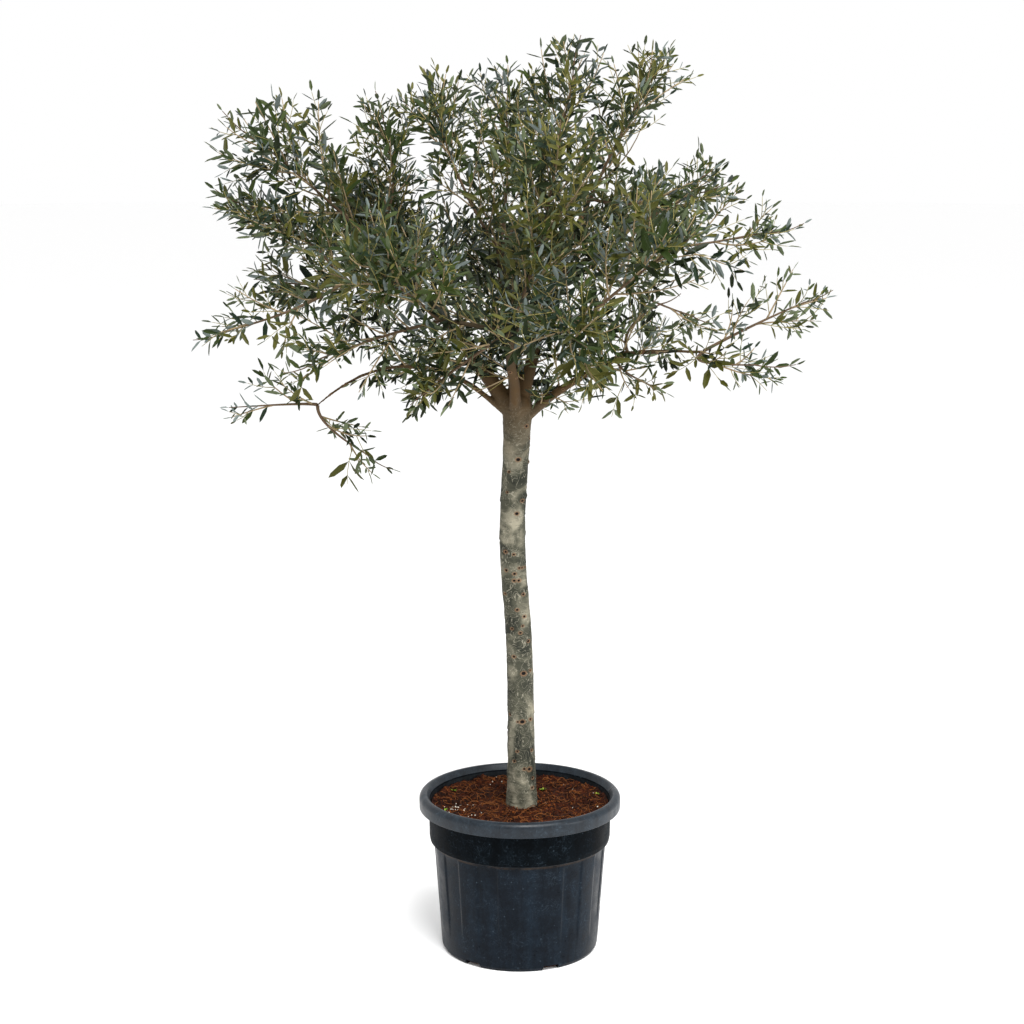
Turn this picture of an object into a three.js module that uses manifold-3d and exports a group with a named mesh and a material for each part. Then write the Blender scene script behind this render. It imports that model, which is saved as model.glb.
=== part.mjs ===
// Potted olive tree: a half-standard olive with a clear trunk, a vase of boughs and a loose crown, growing
// in a round nursery pot. Millimetres, +Z up, +X to the right of the tree's best side and -Y towards its
// viewer. The origin is the centre of the pot's flat underside.
import * as THREE from "three";
import { mergeVertices } from "three/addons/utils/BufferGeometryUtils.js";
import Module from "manifold-3d";

const wasm = await Module();
wasm.setup();
const { Manifold, Mesh: ManifoldMesh } = wasm;

// ---- Driving dimensions ----

const GAP = 0.3; // clearance between neighbouring solids

const POT = {
  height: 380,
  rimRadius: 240, // outside of the turned-down lip
  mouthRadius: 219, // inside edge of the rim
  lipDepth: 35,
  lipRound: 9, // how softly the lip turns over
  lipWall: 3, // thickness of its skirt
  bandRadius: 216, // the plain collar under the lip
  bandBottom: 268,
  bandStep: 8, // height of the slope from the collar to the panelled wall
  wallTopRadius: 206,
  footRadius: 186,
  wall: 5,
  floor: 6,
  footRound: 4, // the slope round the edge of the underside
  panels: 24, // raised and sunk panels in turn, round the wall
  panelSink: 2.5,
  panelFade: 78, // below this height the panels fade out towards the foot
  panelEdge: THREE.MathUtils.degToRad(0.6), // half the width of the slope between two panels
  notches: 6, // drainage slots through the foot
  notchWidth: 42,
  notchHeight: 12,
  notchDepth: 26,
  notchOverhang: 6, // how far the cut reaches out past the foot
  notchTurn: THREE.MathUtils.degToRad(-68), // direction of the first slot
};

const SOIL = {
  top: 350,
  seatRadius: 46, // the level patch that the trunk stands on
  columns: 24,
  rings: [1, 0.8, 0.6, 0.42], // of corners, as shares of the soil's radius
  hummock: 5, // how far the surface rises and falls away from the trunk
};

const TRUNK = {
  foot: SOIL.top + GAP,
  head: 1305, // top of the swelling that the boughs leave
  radius: 29, // at its narrowest, two thirds of the way up
  taper: 3.5, // how much thicker it is at the foot, apart from the flare
  flare: 6,
  flareHeight: 70,
  headSwell: 8,
  headSwellHeight: 60,
  lean: -9.6, // from the foot to the head, along X
  footOffset: 4.6,
  bow: -16, // the trunk's one clear bend, along X
  bowAt: 0.68,
  bowSpread: 0.2,
  depthLean: 7, // along Y
  dome: 12, // height of the rounded top
  sides: 16,
  steps: 12,
};

/** A bough: "of" is what it leaves, "below" how far under the top of the trunk its axis starts (0 when it
 *  leaves another bough's tip), the radii its thickness at both ends, "tip" where it ends as [turn in
 *  degrees round the tree, reach from the trunk's axis, height above the ground], and "rise" how far its
 *  middle is lifted above straight. */
function bough(name, of, below, [radius, tipRadius], tip, rise) {
  return { name, of, below, radius, tipRadius, tip, rise };
}

const BOUGHS = [
  bough("bough_left", "trunk", 26, [20, 11], [176, 215, 1560], 8),
  bough("bough_right", "trunk", 22, [17, 10], [14, 85, 1610], -6),
  bough("bough_back", "trunk", 30, [16, 10], [96, 190, 1560], 6),
  bough("bough_leader", "trunk", 18, [15, 9], [140, 62, 1665], 0),
  bough("bough_front", "trunk", 34, [14, 9], [262, 200, 1495], 10),
  bough("bough_right_low", "trunk", 40, [12, 9], [346, 250, 1436], 26),
  bough("bough_left_low", "trunk", 44, [10, 5], [192, 468, 1322], 225),
  bough("limb_left_top", "bough_left", 0, [9, 7], [178, 345, 1690], 4),
  bough("limb_left_side", "bough_left", 0, [8, 6], [187, 405, 1592], 14),
  bough("limb_right_top", "bough_right", 0, [8, 7], [2, 158, 1780], 2),
  bough("limb_right_side", "bough_right", 0, [8, 6], [355, 248, 1668], 8),
  bough("limb_back_left", "bough_back", 0, [8, 7], [128, 300, 1610], 8),
  bough("limb_back_right", "bough_back", 0, [8, 7], [52, 290, 1610], 8),
  bough("limb_front_left", "bough_front", 0, [7, 6], [232, 290, 1525], 10),
  bough("limb_front_right", "bough_front", 0, [7, 6], [302, 290, 1540], 10),
  bough("limb_right_far", "bough_right_low", 0, [8, 6], [350, 420, 1440], 6),
];

/** A mass of foliage: a spindle of space on the tip of a bough. "tip" is its far end as [turn, reach,
 *  height], "pitch" how steeply it climbs to it in degrees, and "heading" its direction if that isn't
 *  straight out. */
function mass(name, of, tip, pitch, length, girth, heading = tip[0]) {
  return { name, of, tip, pitch, length, girth, heading };
}

const MASSES = [
  mass("foliage_left_top", "limb_left_top", [182, 685, 1990], 40, 480, 205),
  mass("foliage_left_upper", "limb_left_top", [177, 332, 2042], 76, 440, 175),
  mass("foliage_left_side", "limb_left_side", [183, 708, 1812], 26, 430, 165),
  mass("foliage_left_shoot", "limb_left_side", [189, 765, 1465], -14, 400, 130),
  mass("foliage_left_inner", "bough_left", [160, 470, 1820], 38, 460, 185),
  mass("foliage_left_tip", "bough_left_low", [190, 690, 1318], -2, 300, 130),
  mass("foliage_hanging", "bough_left_low", [197, 284, 1160], -32, 330, 120, 4),
  mass("foliage_top_left", "bough_leader", [174, 225, 2092], 74, 460, 180),
  mass("foliage_top", "bough_leader", [4, 140, 2165], 80, 460, 180),
  mass("foliage_top_back", "bough_leader", [98, 300, 2085], 60, 460, 205),
  mass("foliage_right_top", "limb_right_top", [358, 345, 2132], 60, 420, 185),
  mass("foliage_right_upper", "limb_right_top", [354, 455, 1858], 30, 330, 120),
  mass("foliage_right_side", "limb_right_side", [4, 508, 1832], 22, 410, 165),
  mass("foliage_right_shoot", "limb_right_side", [350, 662, 1735], 13, 440, 135),
  mass("foliage_right_far", "limb_right_far", [353, 728, 1590], 24, 340, 120),
  mass("foliage_right_low", "limb_right_far", [347, 655, 1420], 2, 420, 120),
  mass("foliage_right_inner", "bough_right_low", [10, 400, 1570], 26, 280, 130),
  mass("foliage_right_under", "bough_right_low", [338, 375, 1345], -22, 280, 140),
  mass("foliage_front_left", "limb_front_left", [228, 580, 1715], 30, 410, 220),
  mass("foliage_droop_left", "limb_front_left", [212, 625, 1415], -16, 420, 160),
  mass("foliage_front_top", "bough_front", [284, 350, 1980], 66, 480, 220),
  mass("foliage_front_under", "bough_front", [230, 395, 1338], -24, 300, 160),
  mass("foliage_front_right", "limb_front_right", [312, 565, 1740], 30, 400, 220),
  mass("foliage_front", "limb_front_right", [284, 580, 1500], -4, 380, 185),
  mass("foliage_back_left", "limb_back_left", [146, 610, 1775], 28, 440, 225),
  mass("foliage_back_left_low", "limb_back_left", [160, 700, 1580], 4, 420, 190),
  mass("foliage_back_right", "limb_back_right", [50, 610, 1820], 34, 440, 230),
  mass("foliage_back_right_low", "limb_back_right", [32, 590, 1460], -16, 380, 170),
  mass("foliage_back", "bough_back", [90, 600, 1640], 8, 440, 205),
];

const LIMB = {
  sides: 7,
  steps: 4,
  aside: 0.45, // how far to the side a limb leaves another's tip, as a share of that tip's radius
};

// How the leafy shoots grow inside a mass.
const SHOOTS = {
  stemSteps: 3,
  stemRadius: 6.5, // of a mass's stem, at its foot
  stemTip: 3.6,
  stemEnds: 0.72, // share of the spindle that the stem climbs
  stemBend: 0.18, // how far before the spindle's middle the stem bends, as a share of its length
  spacing: 50, // along the stem, between twigs
  lowest: 0.2, // share of the stem below its first twig
  twigRadius: 2.7,
  twigTip: 2.1,
  opening: 64, // degrees between twig and stem low down on the stem
  closing: 34, // and near its tip
  upward: 0.25, // how strongly a twig turns towards the light
  leafRoom: 0.6, // share of a leaf's length that must be free beyond a twig's tip
  longest: 205,
  lengths: [1, 0.85, 0.7, 0.55, 0.4, 0.25], // shares of the wanted length that are tried in turn
  sides: 4, // so that each leaf of a pair leaves from the middle of a flat side
  leafSpacing: 52,
  leafAngle: 46, // degrees between leaf and twig
  leafRoll: 35, // degrees that a leaf may be rolled about its own line
  innerPart: 0.3, // share of a shoot, from its foot, that may come close to its neighbours
};

const LEAF = {
  length: 142,
  width: 43,
  thickness: 4.5,
  belly: 0.42, // where it is widest, as a share of its length
};
const LEAF_SIZES = [1, 0.8, 0.64, 0.5]; // shares of that size that are tried in turn
const LEAF_CLEARANCE = 18; // between the middle lines of two shoots or leaves of one mass
const MASS_CLEARANCE = 22; // and of two masses
const LIMB_CLEARANCE = 2;
const ROOM_CHECKS = [0.35, 0.7, 1]; // shares of a shoot where it is measured against the masses' spaces
const LIMB_SAMPLES = 8; // stretches that a limb is measured in
const STEM_SAMPLES = 6;
const GOLDEN_ANGLE = Math.PI * (3 - Math.sqrt(5));
const UP = new THREE.Vector3(0, 0, 1);

const MATERIALS = {
  pot: new THREE.MeshStandardMaterial({ color: 0x2a3038, roughness: 0.55, metalness: 0 }),
  soil: new THREE.MeshStandardMaterial({ color: 0x5a2f1c, roughness: 0.95, metalness: 0 }),
  bark: new THREE.MeshStandardMaterial({ color: 0x9b978a, roughness: 0.85, metalness: 0 }),
  limb: new THREE.MeshStandardMaterial({ color: 0x7d6249, roughness: 0.85, metalness: 0 }),
  foliage: new THREE.MeshStandardMaterial({ color: 0x55623f, roughness: 0.6, metalness: 0 }),
};

// ---- Solids ----

const radians = THREE.MathUtils.degToRad;

/** A closed three.js geometry as a manifold-3d solid, with its faces turned outwards. */
function solidOf(geometry) {
  const bare = geometry.clone();
  bare.deleteAttribute("normal");
  bare.deleteAttribute("uv");
  const merged = mergeVertices(bare, 1e-3);
  const vertProperties = new Float32Array(merged.attributes.position.array);
  const triVerts = new Uint32Array(merged.index.array);
  const solid = new Manifold(new ManifoldMesh({ numProp: 3, vertProperties, triVerts }));
  return solid.volume() > 0
    ? solid
    : new Manifold(new ManifoldMesh({ numProp: 3, vertProperties, triVerts: triVerts.reverse() }));
}

/** A manifold-3d solid as a three.js geometry with flat faces. */
function geometryOf(solid) {
  const mesh = solid.getMesh();
  const positions = new Float32Array(mesh.numVert * 3);
  for (let i = 0; i < mesh.numVert; i++) {
    positions.set(mesh.vertProperties.subarray(i * mesh.numProp, i * mesh.numProp + 3), i * 3);
  }
  const geometry = new THREE.BufferGeometry();
  geometry.setAttribute("position", new THREE.BufferAttribute(positions, 3));
  geometry.setIndex(new THREE.BufferAttribute(new Uint32Array(mesh.triVerts), 1));
  geometry.computeVertexNormals();
  return geometry;
}

/** The largest closed body of a solid that a cut may have left in pieces, or joined by a point only. */
function largestBody(solid) {
  const larger = (one, other) => (other.volume() > one.volume() ? other : one);
  const largest = (whole) => whole.decompose().reduce(larger);
  return largest(solidOf(geometryOf(largest(solid))));
}

/** A named mesh for one sub-part. */
function part(name, solid, material) {
  const mesh = new THREE.Mesh(geometryOf(solid), material);
  mesh.name = name;
  return mesh;
}

/** Numbers from 0 to 1 in a fixed order. */
function seededRandom(seed) {
  let state = seed >>> 0;
  const next = () => {
    state = (Math.imul(state, 1664525) + 1013904223) >>> 0;
    return state / 4294967296;
  };
  for (let i = 0; i < 4; i++) next();
  return next;
}

/** A factor within 15% of 1. */
function varied(random) {
  return 0.85 + 0.3 * random();
}

/** A point given by its direction round the trunk, its distance from it and its height. */
function around([turn, reach, height]) {
  return new THREE.Vector3(reach * Math.cos(radians(turn)), reach * Math.sin(radians(turn)), height);
}

// ---- Pot and soil ----

/** The angle of one of the pot's columns of corners: two for each panel, close to its edges. */
function columnAngle(column) {
  const panel = Math.floor(column / 2);
  const panelWidth = (2 * Math.PI) / POT.panels;
  return column % 2 ? (panel + 1) * panelWidth - POT.panelEdge : panel * panelWidth + POT.panelEdge;
}

/** Turns a profile of [radius, height] about the pot's axis, with every second panel sunk in some rows. */
function turned(profile, sunk) {
  const columns = 2 * POT.panels;
  const geometry = new THREE.LatheGeometry(profile.map(([r, z]) => new THREE.Vector2(r, z)), columns);
  const position = geometry.attributes.position;
  for (let i = 0; i < position.count; i++) {
    const column = Math.floor(i / profile.length) % columns;
    const [radius, height] = profile[i % profile.length];
    const inSunkPanel = Math.floor(column / 2) % 2 === 1;
    const r = Math.max(0, radius - (inSunkPanel && sunk(i % profile.length) ? POT.panelSink : 0));
    const angle = columnAngle(column);
    position.setXYZ(i, r * Math.cos(angle), r * Math.sin(angle), height);
  }
  return solidOf(geometry);
}

/** Outside radius of the panelled wall at a height. */
function wallRadius(height) {
  return THREE.MathUtils.lerp(POT.footRadius, POT.wallTopRadius, height / POT.bandBottom);
}

function makePot() {
  const { height, rimRadius, mouthRadius, lipDepth, lipRound, bandRadius, bandBottom, bandStep } = POT;
  const { wall, floor, footRound, lipWall, panelFade } = POT;
  const stepTop = bandBottom + bandStep;
  const outside = [
    [0, 0],
    [wallRadius(0) - footRound, 0],
    [wallRadius(footRound), footRound],
    [wallRadius(panelFade), panelFade],
    [wallRadius(bandBottom - 3), bandBottom - 3],
    [wallRadius(bandBottom), bandBottom],
    [bandRadius, stepTop],
    [bandRadius, height - lipWall - 3],
    [rimRadius - lipWall, height - lipWall - lipRound],
    [rimRadius - lipWall, height - lipDepth],
    [rimRadius, height - lipDepth],
    [rimRadius, height - lipRound],
    [rimRadius - lipRound, height],
    [mouthRadius, height],
  ];
  const sunkRows = [3, 4]; // the rows of "outside" at both ends of the panels
  const inside = [
    [bandRadius - wall, stepTop],
    [wallRadius(bandBottom) - wall, bandBottom],
    [wallRadius(floor) - wall, floor],
    [0, floor],
  ];
  const shell = turned([...outside, ...inside], (row) => sunkRows.includes(row));
  const slot = new THREE.BoxGeometry(POT.notchDepth, POT.notchWidth, 2 * POT.notchHeight);
  slot.translate(POT.footRadius - POT.notchDepth / 2 + POT.notchOverhang, 0, 0);
  const slots = [];
  for (let i = 0; i < POT.notches; i++) {
    const one = slot.clone().rotateZ(POT.notchTurn + (i * 2 * Math.PI) / POT.notches);
    slots.push(solidOf(one));
  }
  return shell.subtract(Manifold.union(slots));
}

/** How far the soil stands above its level seat, at a distance and direction from the trunk. */
function soilRelief(radius, angle) {
  const rim = wallRadius(SOIL.top);
  const away = THREE.MathUtils.smoothstep(radius, SOIL.seatRadius, 0.6 * rim);
  return SOIL.hummock * away * Math.sin(3 * angle + radius / 24) * Math.cos(2 * angle - radius / 31);
}

function makeSoil() {
  const { wall, floor, bandBottom, bandStep, bandRadius, height } = POT;
  const inner = (radius) => (radius - wall) * Math.cos(Math.PI / (2 * POT.panels)) - 2 * GAP;
  const profile = [
    [0, floor + GAP],
    [inner(wallRadius(floor)), floor + GAP],
    [inner(wallRadius(bandBottom)), bandBottom],
    [inner(bandRadius), bandBottom + bandStep + 1],
    ...SOIL.rings.map((share) => [share * inner(bandRadius), SOIL.top]),
    [SOIL.seatRadius, SOIL.top],
    [0, SOIL.top],
  ];
  const geometry = new THREE.LatheGeometry(profile.map(([r, z]) => new THREE.Vector2(r, z)), SOIL.columns);
  return solidOf(geometry.rotateX(Math.PI / 2)).warp((corner) => {
    if (corner[2] > SOIL.top - 1) {
      corner[2] += soilRelief(Math.hypot(corner[0], corner[1]), Math.atan2(corner[1], corner[0]));
    }
  });
}

// ---- Trunk and boughs ----

/** The trunk's axis at a share of its height: a slight lean with one bow in it. */
function trunkAxis(share) {
  const bow = TRUNK.bow * Math.exp(-(((share - TRUNK.bowAt) / TRUNK.bowSpread) ** 2));
  return new THREE.Vector3(
    TRUNK.footOffset + TRUNK.lean * share + bow,
    TRUNK.depthLean * Math.sin((Math.PI / 2) * share),
    THREE.MathUtils.lerp(TRUNK.foot, TRUNK.head, share),
  );
}

/** The trunk's radius at a share of its height: taper, root flare and the swelling below the fork. */
function trunkRadius(share) {
  const rise = (TRUNK.head - TRUNK.foot) * share;
  const drop = (TRUNK.head - TRUNK.foot) * (1 - share);
  return (
    TRUNK.radius +
    TRUNK.taper * (1 - share) +
    TRUNK.flare * Math.exp(-rise / TRUNK.flareHeight) +
    TRUNK.headSwell * Math.exp(-drop / TRUNK.headSwellHeight)
  );
}

/** The trunk, or with "grown" the same trunk that much thicker and taller, to cut its neighbours with. */
function makeTrunk(grown = 0) {
  const profile = [new THREE.Vector2(0, TRUNK.foot - grown)];
  for (let i = 0; i <= TRUNK.steps; i++) {
    const share = i / TRUNK.steps;
    const height = THREE.MathUtils.lerp(TRUNK.foot, TRUNK.head - TRUNK.dome, share);
    profile.push(new THREE.Vector2(trunkRadius(share) + grown, i ? height : height - grown));
  }
  profile.push(new THREE.Vector2(0.6 * trunkRadius(1) + grown, TRUNK.head - 2 + grown));
  profile.push(new THREE.Vector2(0, TRUNK.head + grown));
  const geometry = new THREE.LatheGeometry(profile, TRUNK.sides).rotateX(Math.PI / 2);
  return solidOf(geometry).warp((corner) => {
    const share = (corner[2] - TRUNK.foot) / (TRUNK.head - TRUNK.foot);
    const axis = trunkAxis(THREE.MathUtils.clamp(share, 0, 1));
    corner[0] += axis.x;
    corner[1] += axis.y;
  });
}

/** A tapering round limb along a curve: a three.js cylinder bent to follow it. */
function limb(curve, radius, tip, sides, steps, grown = 0) {
  const geometry = new THREE.CylinderGeometry(1, 1, 1, sides, steps);
  const frames = curve.computeFrenetFrames(steps, false);
  const position = geometry.attributes.position;
  const corner = new THREE.Vector3();
  for (let i = 0; i < position.count; i++) {
    corner.fromBufferAttribute(position, i);
    const share = corner.y + 0.5;
    const step = Math.round(share * steps);
    const thickness = THREE.MathUtils.lerp(radius, tip, share) + grown;
    const point = curve.getPointAt(share);
    if (step === steps) point.addScaledVector(frames.tangents[step], grown);
    point.addScaledVector(frames.normals[step], corner.x * thickness);
    point.addScaledVector(frames.binormals[step], -corner.z * thickness);
    position.setXYZ(i, point.x, point.y, point.z);
  }
  return solidOf(geometry);
}

/** Where a limb leaves another's tip: a little to the side that it heads for. */
function besideTip(tip, heading, tipRadius, outward) {
  const sideways = outward.clone().addScaledVector(heading, -outward.dot(heading)).normalize();
  return tip.clone().addScaledVector(sideways, LIMB.aside * tipRadius);
}

/** Works out where every bough runs: it leaves its parent's tip, or the trunk's axis, and ends at its tip. */
function routeBoughs() {
  const routes = new Map();
  for (const bough of BOUGHS) {
    const parent = routes.get(bough.of);
    const end = around(bough.tip);
    const start = parent
      ? besideTip(parent.end, parent.heading, parent.tipRadius, end.clone().sub(parent.end))
      : trunkAxis(1 - bough.below / (TRUNK.head - TRUNK.foot));
    const middle = start.clone().add(end).multiplyScalar(0.5);
    middle.z += bough.rise;
    const curve = new THREE.QuadraticBezierCurve3(start, middle, end);
    routes.set(bough.name, { ...bough, curve, end, heading: curve.getTangentAt(1) });
  }
  return routes;
}

/** Points along a limb's curve with its radius at each, for measuring how near something comes to it. */
function limbSamples(curve, radius, tip, count) {
  const samples = [];
  for (let i = 0; i <= count; i++) {
    samples.push({ at: curve.getPointAt(i / count), radius: THREE.MathUtils.lerp(radius, tip, i / count) });
  }
  return samples;
}

// ---- Foliage ----

/** The stretch of space that a mass keeps to, and the course of its stem. */
function massSpace(mass, routes, index) {
  const bough = routes.get(mass.of);
  const tip = around(mass.tip);
  const axis = around([mass.heading, Math.cos(radians(mass.pitch)), Math.sin(radians(mass.pitch))]);
  const centre = tip.clone().addScaledVector(axis, -mass.length / 2);
  const start = besideTip(bough.end, bough.heading, bough.tipRadius, centre.clone().sub(bough.end));
  const end = tip.clone().addScaledVector(axis, -(1 - SHOOTS.stemEnds) * mass.length);
  const bend = centre.clone().addScaledVector(axis, -SHOOTS.stemBend * mass.length);
  const curve = new THREE.QuadraticBezierCurve3(start, bend, end);
  return { ...mass, seed: 7919 * (index + 1), tip, axis, centre, curve };
}

/** 0 at the middle of a mass's spindle and 1 on its skin. */
function depthIn(space, point) {
  const offset = point.clone().sub(space.centre);
  const along = offset.dot(space.axis);
  const aside = offset.addScaledVector(space.axis, -along).length();
  return Math.hypot(along / (space.length / 2), aside / space.girth);
}

/** The least distance between two straight stretches. */
function distanceBetween(a0, a1, b0, b1) {
  const u = a1.clone().sub(a0);
  const v = b1.clone().sub(b0);
  const w = a0.clone().sub(b0);
  const a = u.dot(u);
  const b = u.dot(v);
  const c = v.dot(v);
  const d = u.dot(w);
  const e = v.dot(w);
  const span = a * c - b * b;
  let s = span > 1e-9 ? THREE.MathUtils.clamp((b * e - c * d) / span, 0, 1) : 0;
  const t = THREE.MathUtils.clamp((b * s + e) / c, 0, 1);
  s = THREE.MathUtils.clamp((b * t - d) / a, 0, 1);
  return w.addScaledVector(u, s).addScaledVector(v, -t).length();
}

/** Whether a straight twig or leaf keeps to its own mass and clear of every limb that isn't its own. */
function hasRoom(space, spaces, obstacles, from, to, halfWidth) {
  for (const share of ROOM_CHECKS) {
    const point = from.clone().lerp(to, share);
    const depth = depthIn(space, point);
    if (depth > 1) return false;
    if (spaces.some((other) => other !== space && depthIn(other, point) < depth)) return false;
  }
  return obstacles.every(({ owner, samples }) =>
    owner === space.name ||
    samples.every((sample, i) =>
      i === 0 ||
      distanceBetween(from, to, samples[i - 1].at, sample.at) >
        Math.max(samples[i - 1].radius, sample.radius) + halfWidth + LIMB_CLEARANCE,
    ),
  );
}

/** A unit vector at right angles to another, turned about it by an angle. */
function acrossFrom(direction, angle) {
  const level = Math.abs(direction.z) > 0.9 ? new THREE.Vector3(1, 0, 0) : UP;
  const side = level.clone().cross(direction).normalize();
  return side.applyAxisAngle(direction, angle);
}

/** The outer stretch of a straight shoot, which is the part that has to keep clear of its neighbours. */
function outerPart(from, to) {
  return [from.clone().lerp(to, SHOOTS.innerPart), to];
}

/** Whether a straight shoot or leaf keeps that far from others that grow already. */
function keepsClear(from, to, others, clearance) {
  const [a0, a1] = outerPart(from, to);
  return others.every(([b0, b1]) => distanceBetween(a0, a1, b0, b1) > clearance);
}

/** A straight twig with four flat sides, two of which face "across". */
function makeTwig({ curve, length, across }) {
  const heading = curve.getTangentAt(0);
  const geometry = new THREE.CylinderGeometry(SHOOTS.twigTip, SHOOTS.twigRadius, length, SHOOTS.sides, 1);
  geometry.rotateY(Math.PI / SHOOTS.sides).translate(0, length / 2, 0);
  const turn = new THREE.Matrix4().makeBasis(across, heading, across.clone().cross(heading));
  return solidOf(geometry.applyMatrix4(turn.setPosition(curve.v1)));
}

/** The twigs of one mass: they leave the stem all round it, open low down, closer near the tip. */
function growTwigs(space, random, fits) {
  const count = Math.max(3, Math.round((SHOOTS.stemEnds * space.length) / SHOOTS.spacing));
  const twigs = [];
  for (let i = 0; i < count; i++) {
    const share = SHOOTS.lowest + ((1 - SHOOTS.lowest) * (i + 0.5 * random())) / count;
    const from = space.curve.getPointAt(share);
    const along = space.curve.getTangentAt(share);
    const widest = THREE.MathUtils.lerp(SHOOTS.opening, SHOOTS.closing, share);
    const opening = radians(widest) * varied(random);
    const heading = along
      .clone()
      .multiplyScalar(Math.cos(opening))
      .addScaledVector(acrossFrom(along, i * GOLDEN_ANGLE + 0.6 * random()), Math.sin(opening))
      .addScaledVector(UP, SHOOTS.upward)
      .normalize();
    const wanted = SHOOTS.longest * (0.8 + 0.2 * random());
    const across = acrossFrom(heading, 2 * Math.PI * random());
    const others = twigs.map((twig) => twig.line);
    const at = (length) => from.clone().addScaledVector(heading, length);
    const length = SHOOTS.lengths
      .map((part) => part * wanted)
      .find((reach) => {
        const room = fits(from, at(reach + SHOOTS.leafRoom * LEAF.length), 0);
        return room && keepsClear(from, at(reach), others, LEAF_CLEARANCE);
      });
    if (length) {
      const to = at(length);
      const curve = new THREE.LineCurve3(from, to);
      twigs.push({ curve, length, leafy: 0.85 * length, across, line: outerPart(from, to) });
    }
  }
  return twigs;
}

/** Leaf places along a shoot: one at its tip, then opposite pairs, each turned a right angle on. */
function leafPlaces({ curve, length, leafy, across }, random) {
  const tip = { foot: curve.getPointAt(1), direction: curve.getTangentAt(1) };
  const places = [{ ...tip, towards: UP, roll: random() }];
  const pairs = Math.max(1, Math.floor(leafy / SHOOTS.leafSpacing));
  for (let pair = 0; pair < pairs; pair++) {
    const share = Math.max(0, 1 - (SHOOTS.leafSpacing * (pair + 0.4)) / length);
    const foot = curve.getPointAt(share);
    const heading = curve.getTangentAt(share);
    for (const side of [0, Math.PI]) {
      const outward = across.clone().addScaledVector(heading, -across.dot(heading)).normalize();
      outward.applyAxisAngle(heading, (pair * Math.PI) / 2 + side);
      const angle = radians(SHOOTS.leafAngle * varied(random));
      const direction = heading.clone().multiplyScalar(Math.cos(angle));
      direction.addScaledVector(outward, Math.sin(angle));
      places.push({ foot, direction, towards: heading, roll: random() });
    }
  }
  return places;
}

/** One leaf: a blade with a keel, widest before its middle, as two three-sided points foot to foot. */
function makeLeaf({ foot, direction, towards, roll }, size) {
  const normal = towards.clone().addScaledVector(direction, -towards.dot(direction));
  if (normal.length() < 1e-3) normal.copy(acrossFrom(direction, 0));
  normal.normalize().applyAxisAngle(direction, radians(SHOOTS.leafRoll * (2 * roll - 1)));
  const width = normal.clone().cross(direction);
  const along = (share) => foot.clone().addScaledVector(direction, share * size * LEAF.length);
  const halfWidth = (LEAF.width * size) / 2;
  const corners = [
    along(0),
    along(1),
    along(LEAF.belly).addScaledVector(width, halfWidth),
    along(LEAF.belly).addScaledVector(width, -halfWidth),
    along(LEAF.belly).addScaledVector(normal, -LEAF.thickness),
  ];
  const geometry = new THREE.BufferGeometry().setFromPoints(corners);
  geometry.setIndex([0, 2, 3, 0, 3, 4, 0, 4, 2, 1, 3, 2, 1, 4, 3, 1, 2, 4]);
  return solidOf(geometry);
}

/** The leaves that find room on one shoot, full size or smaller. Their middle lines go into "taken". */
function leavesOn(shoot, random, fits, otherShoots, taken) {
  const leaves = [];
  for (const place of leafPlaces(shoot, random)) {
    const tipAt = (size) => place.foot.clone().addScaledVector(place.direction, size * LEAF.length);
    const others = [...otherShoots, ...taken];
    const size = LEAF_SIZES.find((share) => {
      const tip = tipAt(share);
      return fits(place.foot, tip, LEAF.width / 4) && keepsClear(place.foot, tip, others, LEAF_CLEARANCE);
    });
    if (size) {
      leaves.push(makeLeaf(place, size));
      taken.push(outerPart(place.foot, tipAt(size)));
    }
  }
  return leaves;
}

/** One mass: a stem, its twigs and their leaves, fused. What it takes up is added to "filled". */
function makeMass(space, spaces, obstacles, cutters, filled) {
  const random = seededRandom(space.seed);
  const fits = (from, to, halfWidth) =>
    hasRoom(space, spaces, obstacles, from, to, halfWidth) && keepsClear(from, to, filled, MASS_CLEARANCE);
  const stemLength = space.curve.getLength();
  const stemTip = space.curve.getPointAt(1);
  const stem = {
    curve: space.curve,
    length: stemLength,
    leafy: 0.5 * stemLength,
    across: acrossFrom(space.curve.getTangentAt(1), 0),
    line: outerPart(space.curve.getPointAt(0.5), stemTip),
  };
  const twigs = growTwigs(space, random, fits);
  const stemSolid = limb(space.curve, SHOOTS.stemRadius, SHOOTS.stemTip, SHOOTS.sides, SHOOTS.stemSteps);
  const pieces = [stemSolid, ...twigs.map(makeTwig)];
  const shoots = [stem, ...twigs];
  const taken = [];
  for (const shoot of shoots) {
    const otherShoots = shoots.filter((other) => other !== shoot).map(({ line }) => line);
    pieces.push(...leavesOn(shoot, random, fits, otherShoots, taken));
  }
  filled.push(...taken, ...twigs.map(({ line }) => line));
  const fused = Manifold.union(pieces);
  return largestBody(fused.subtract(Manifold.union(cutters)));
}

// ---- Assembly ----

const tree = new THREE.Group();
tree.add(part("pot", makePot(), MATERIALS.pot));
tree.add(part("potting_soil", makeSoil(), MATERIALS.soil));
tree.add(part("trunk", makeTrunk(), MATERIALS.bark));

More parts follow.
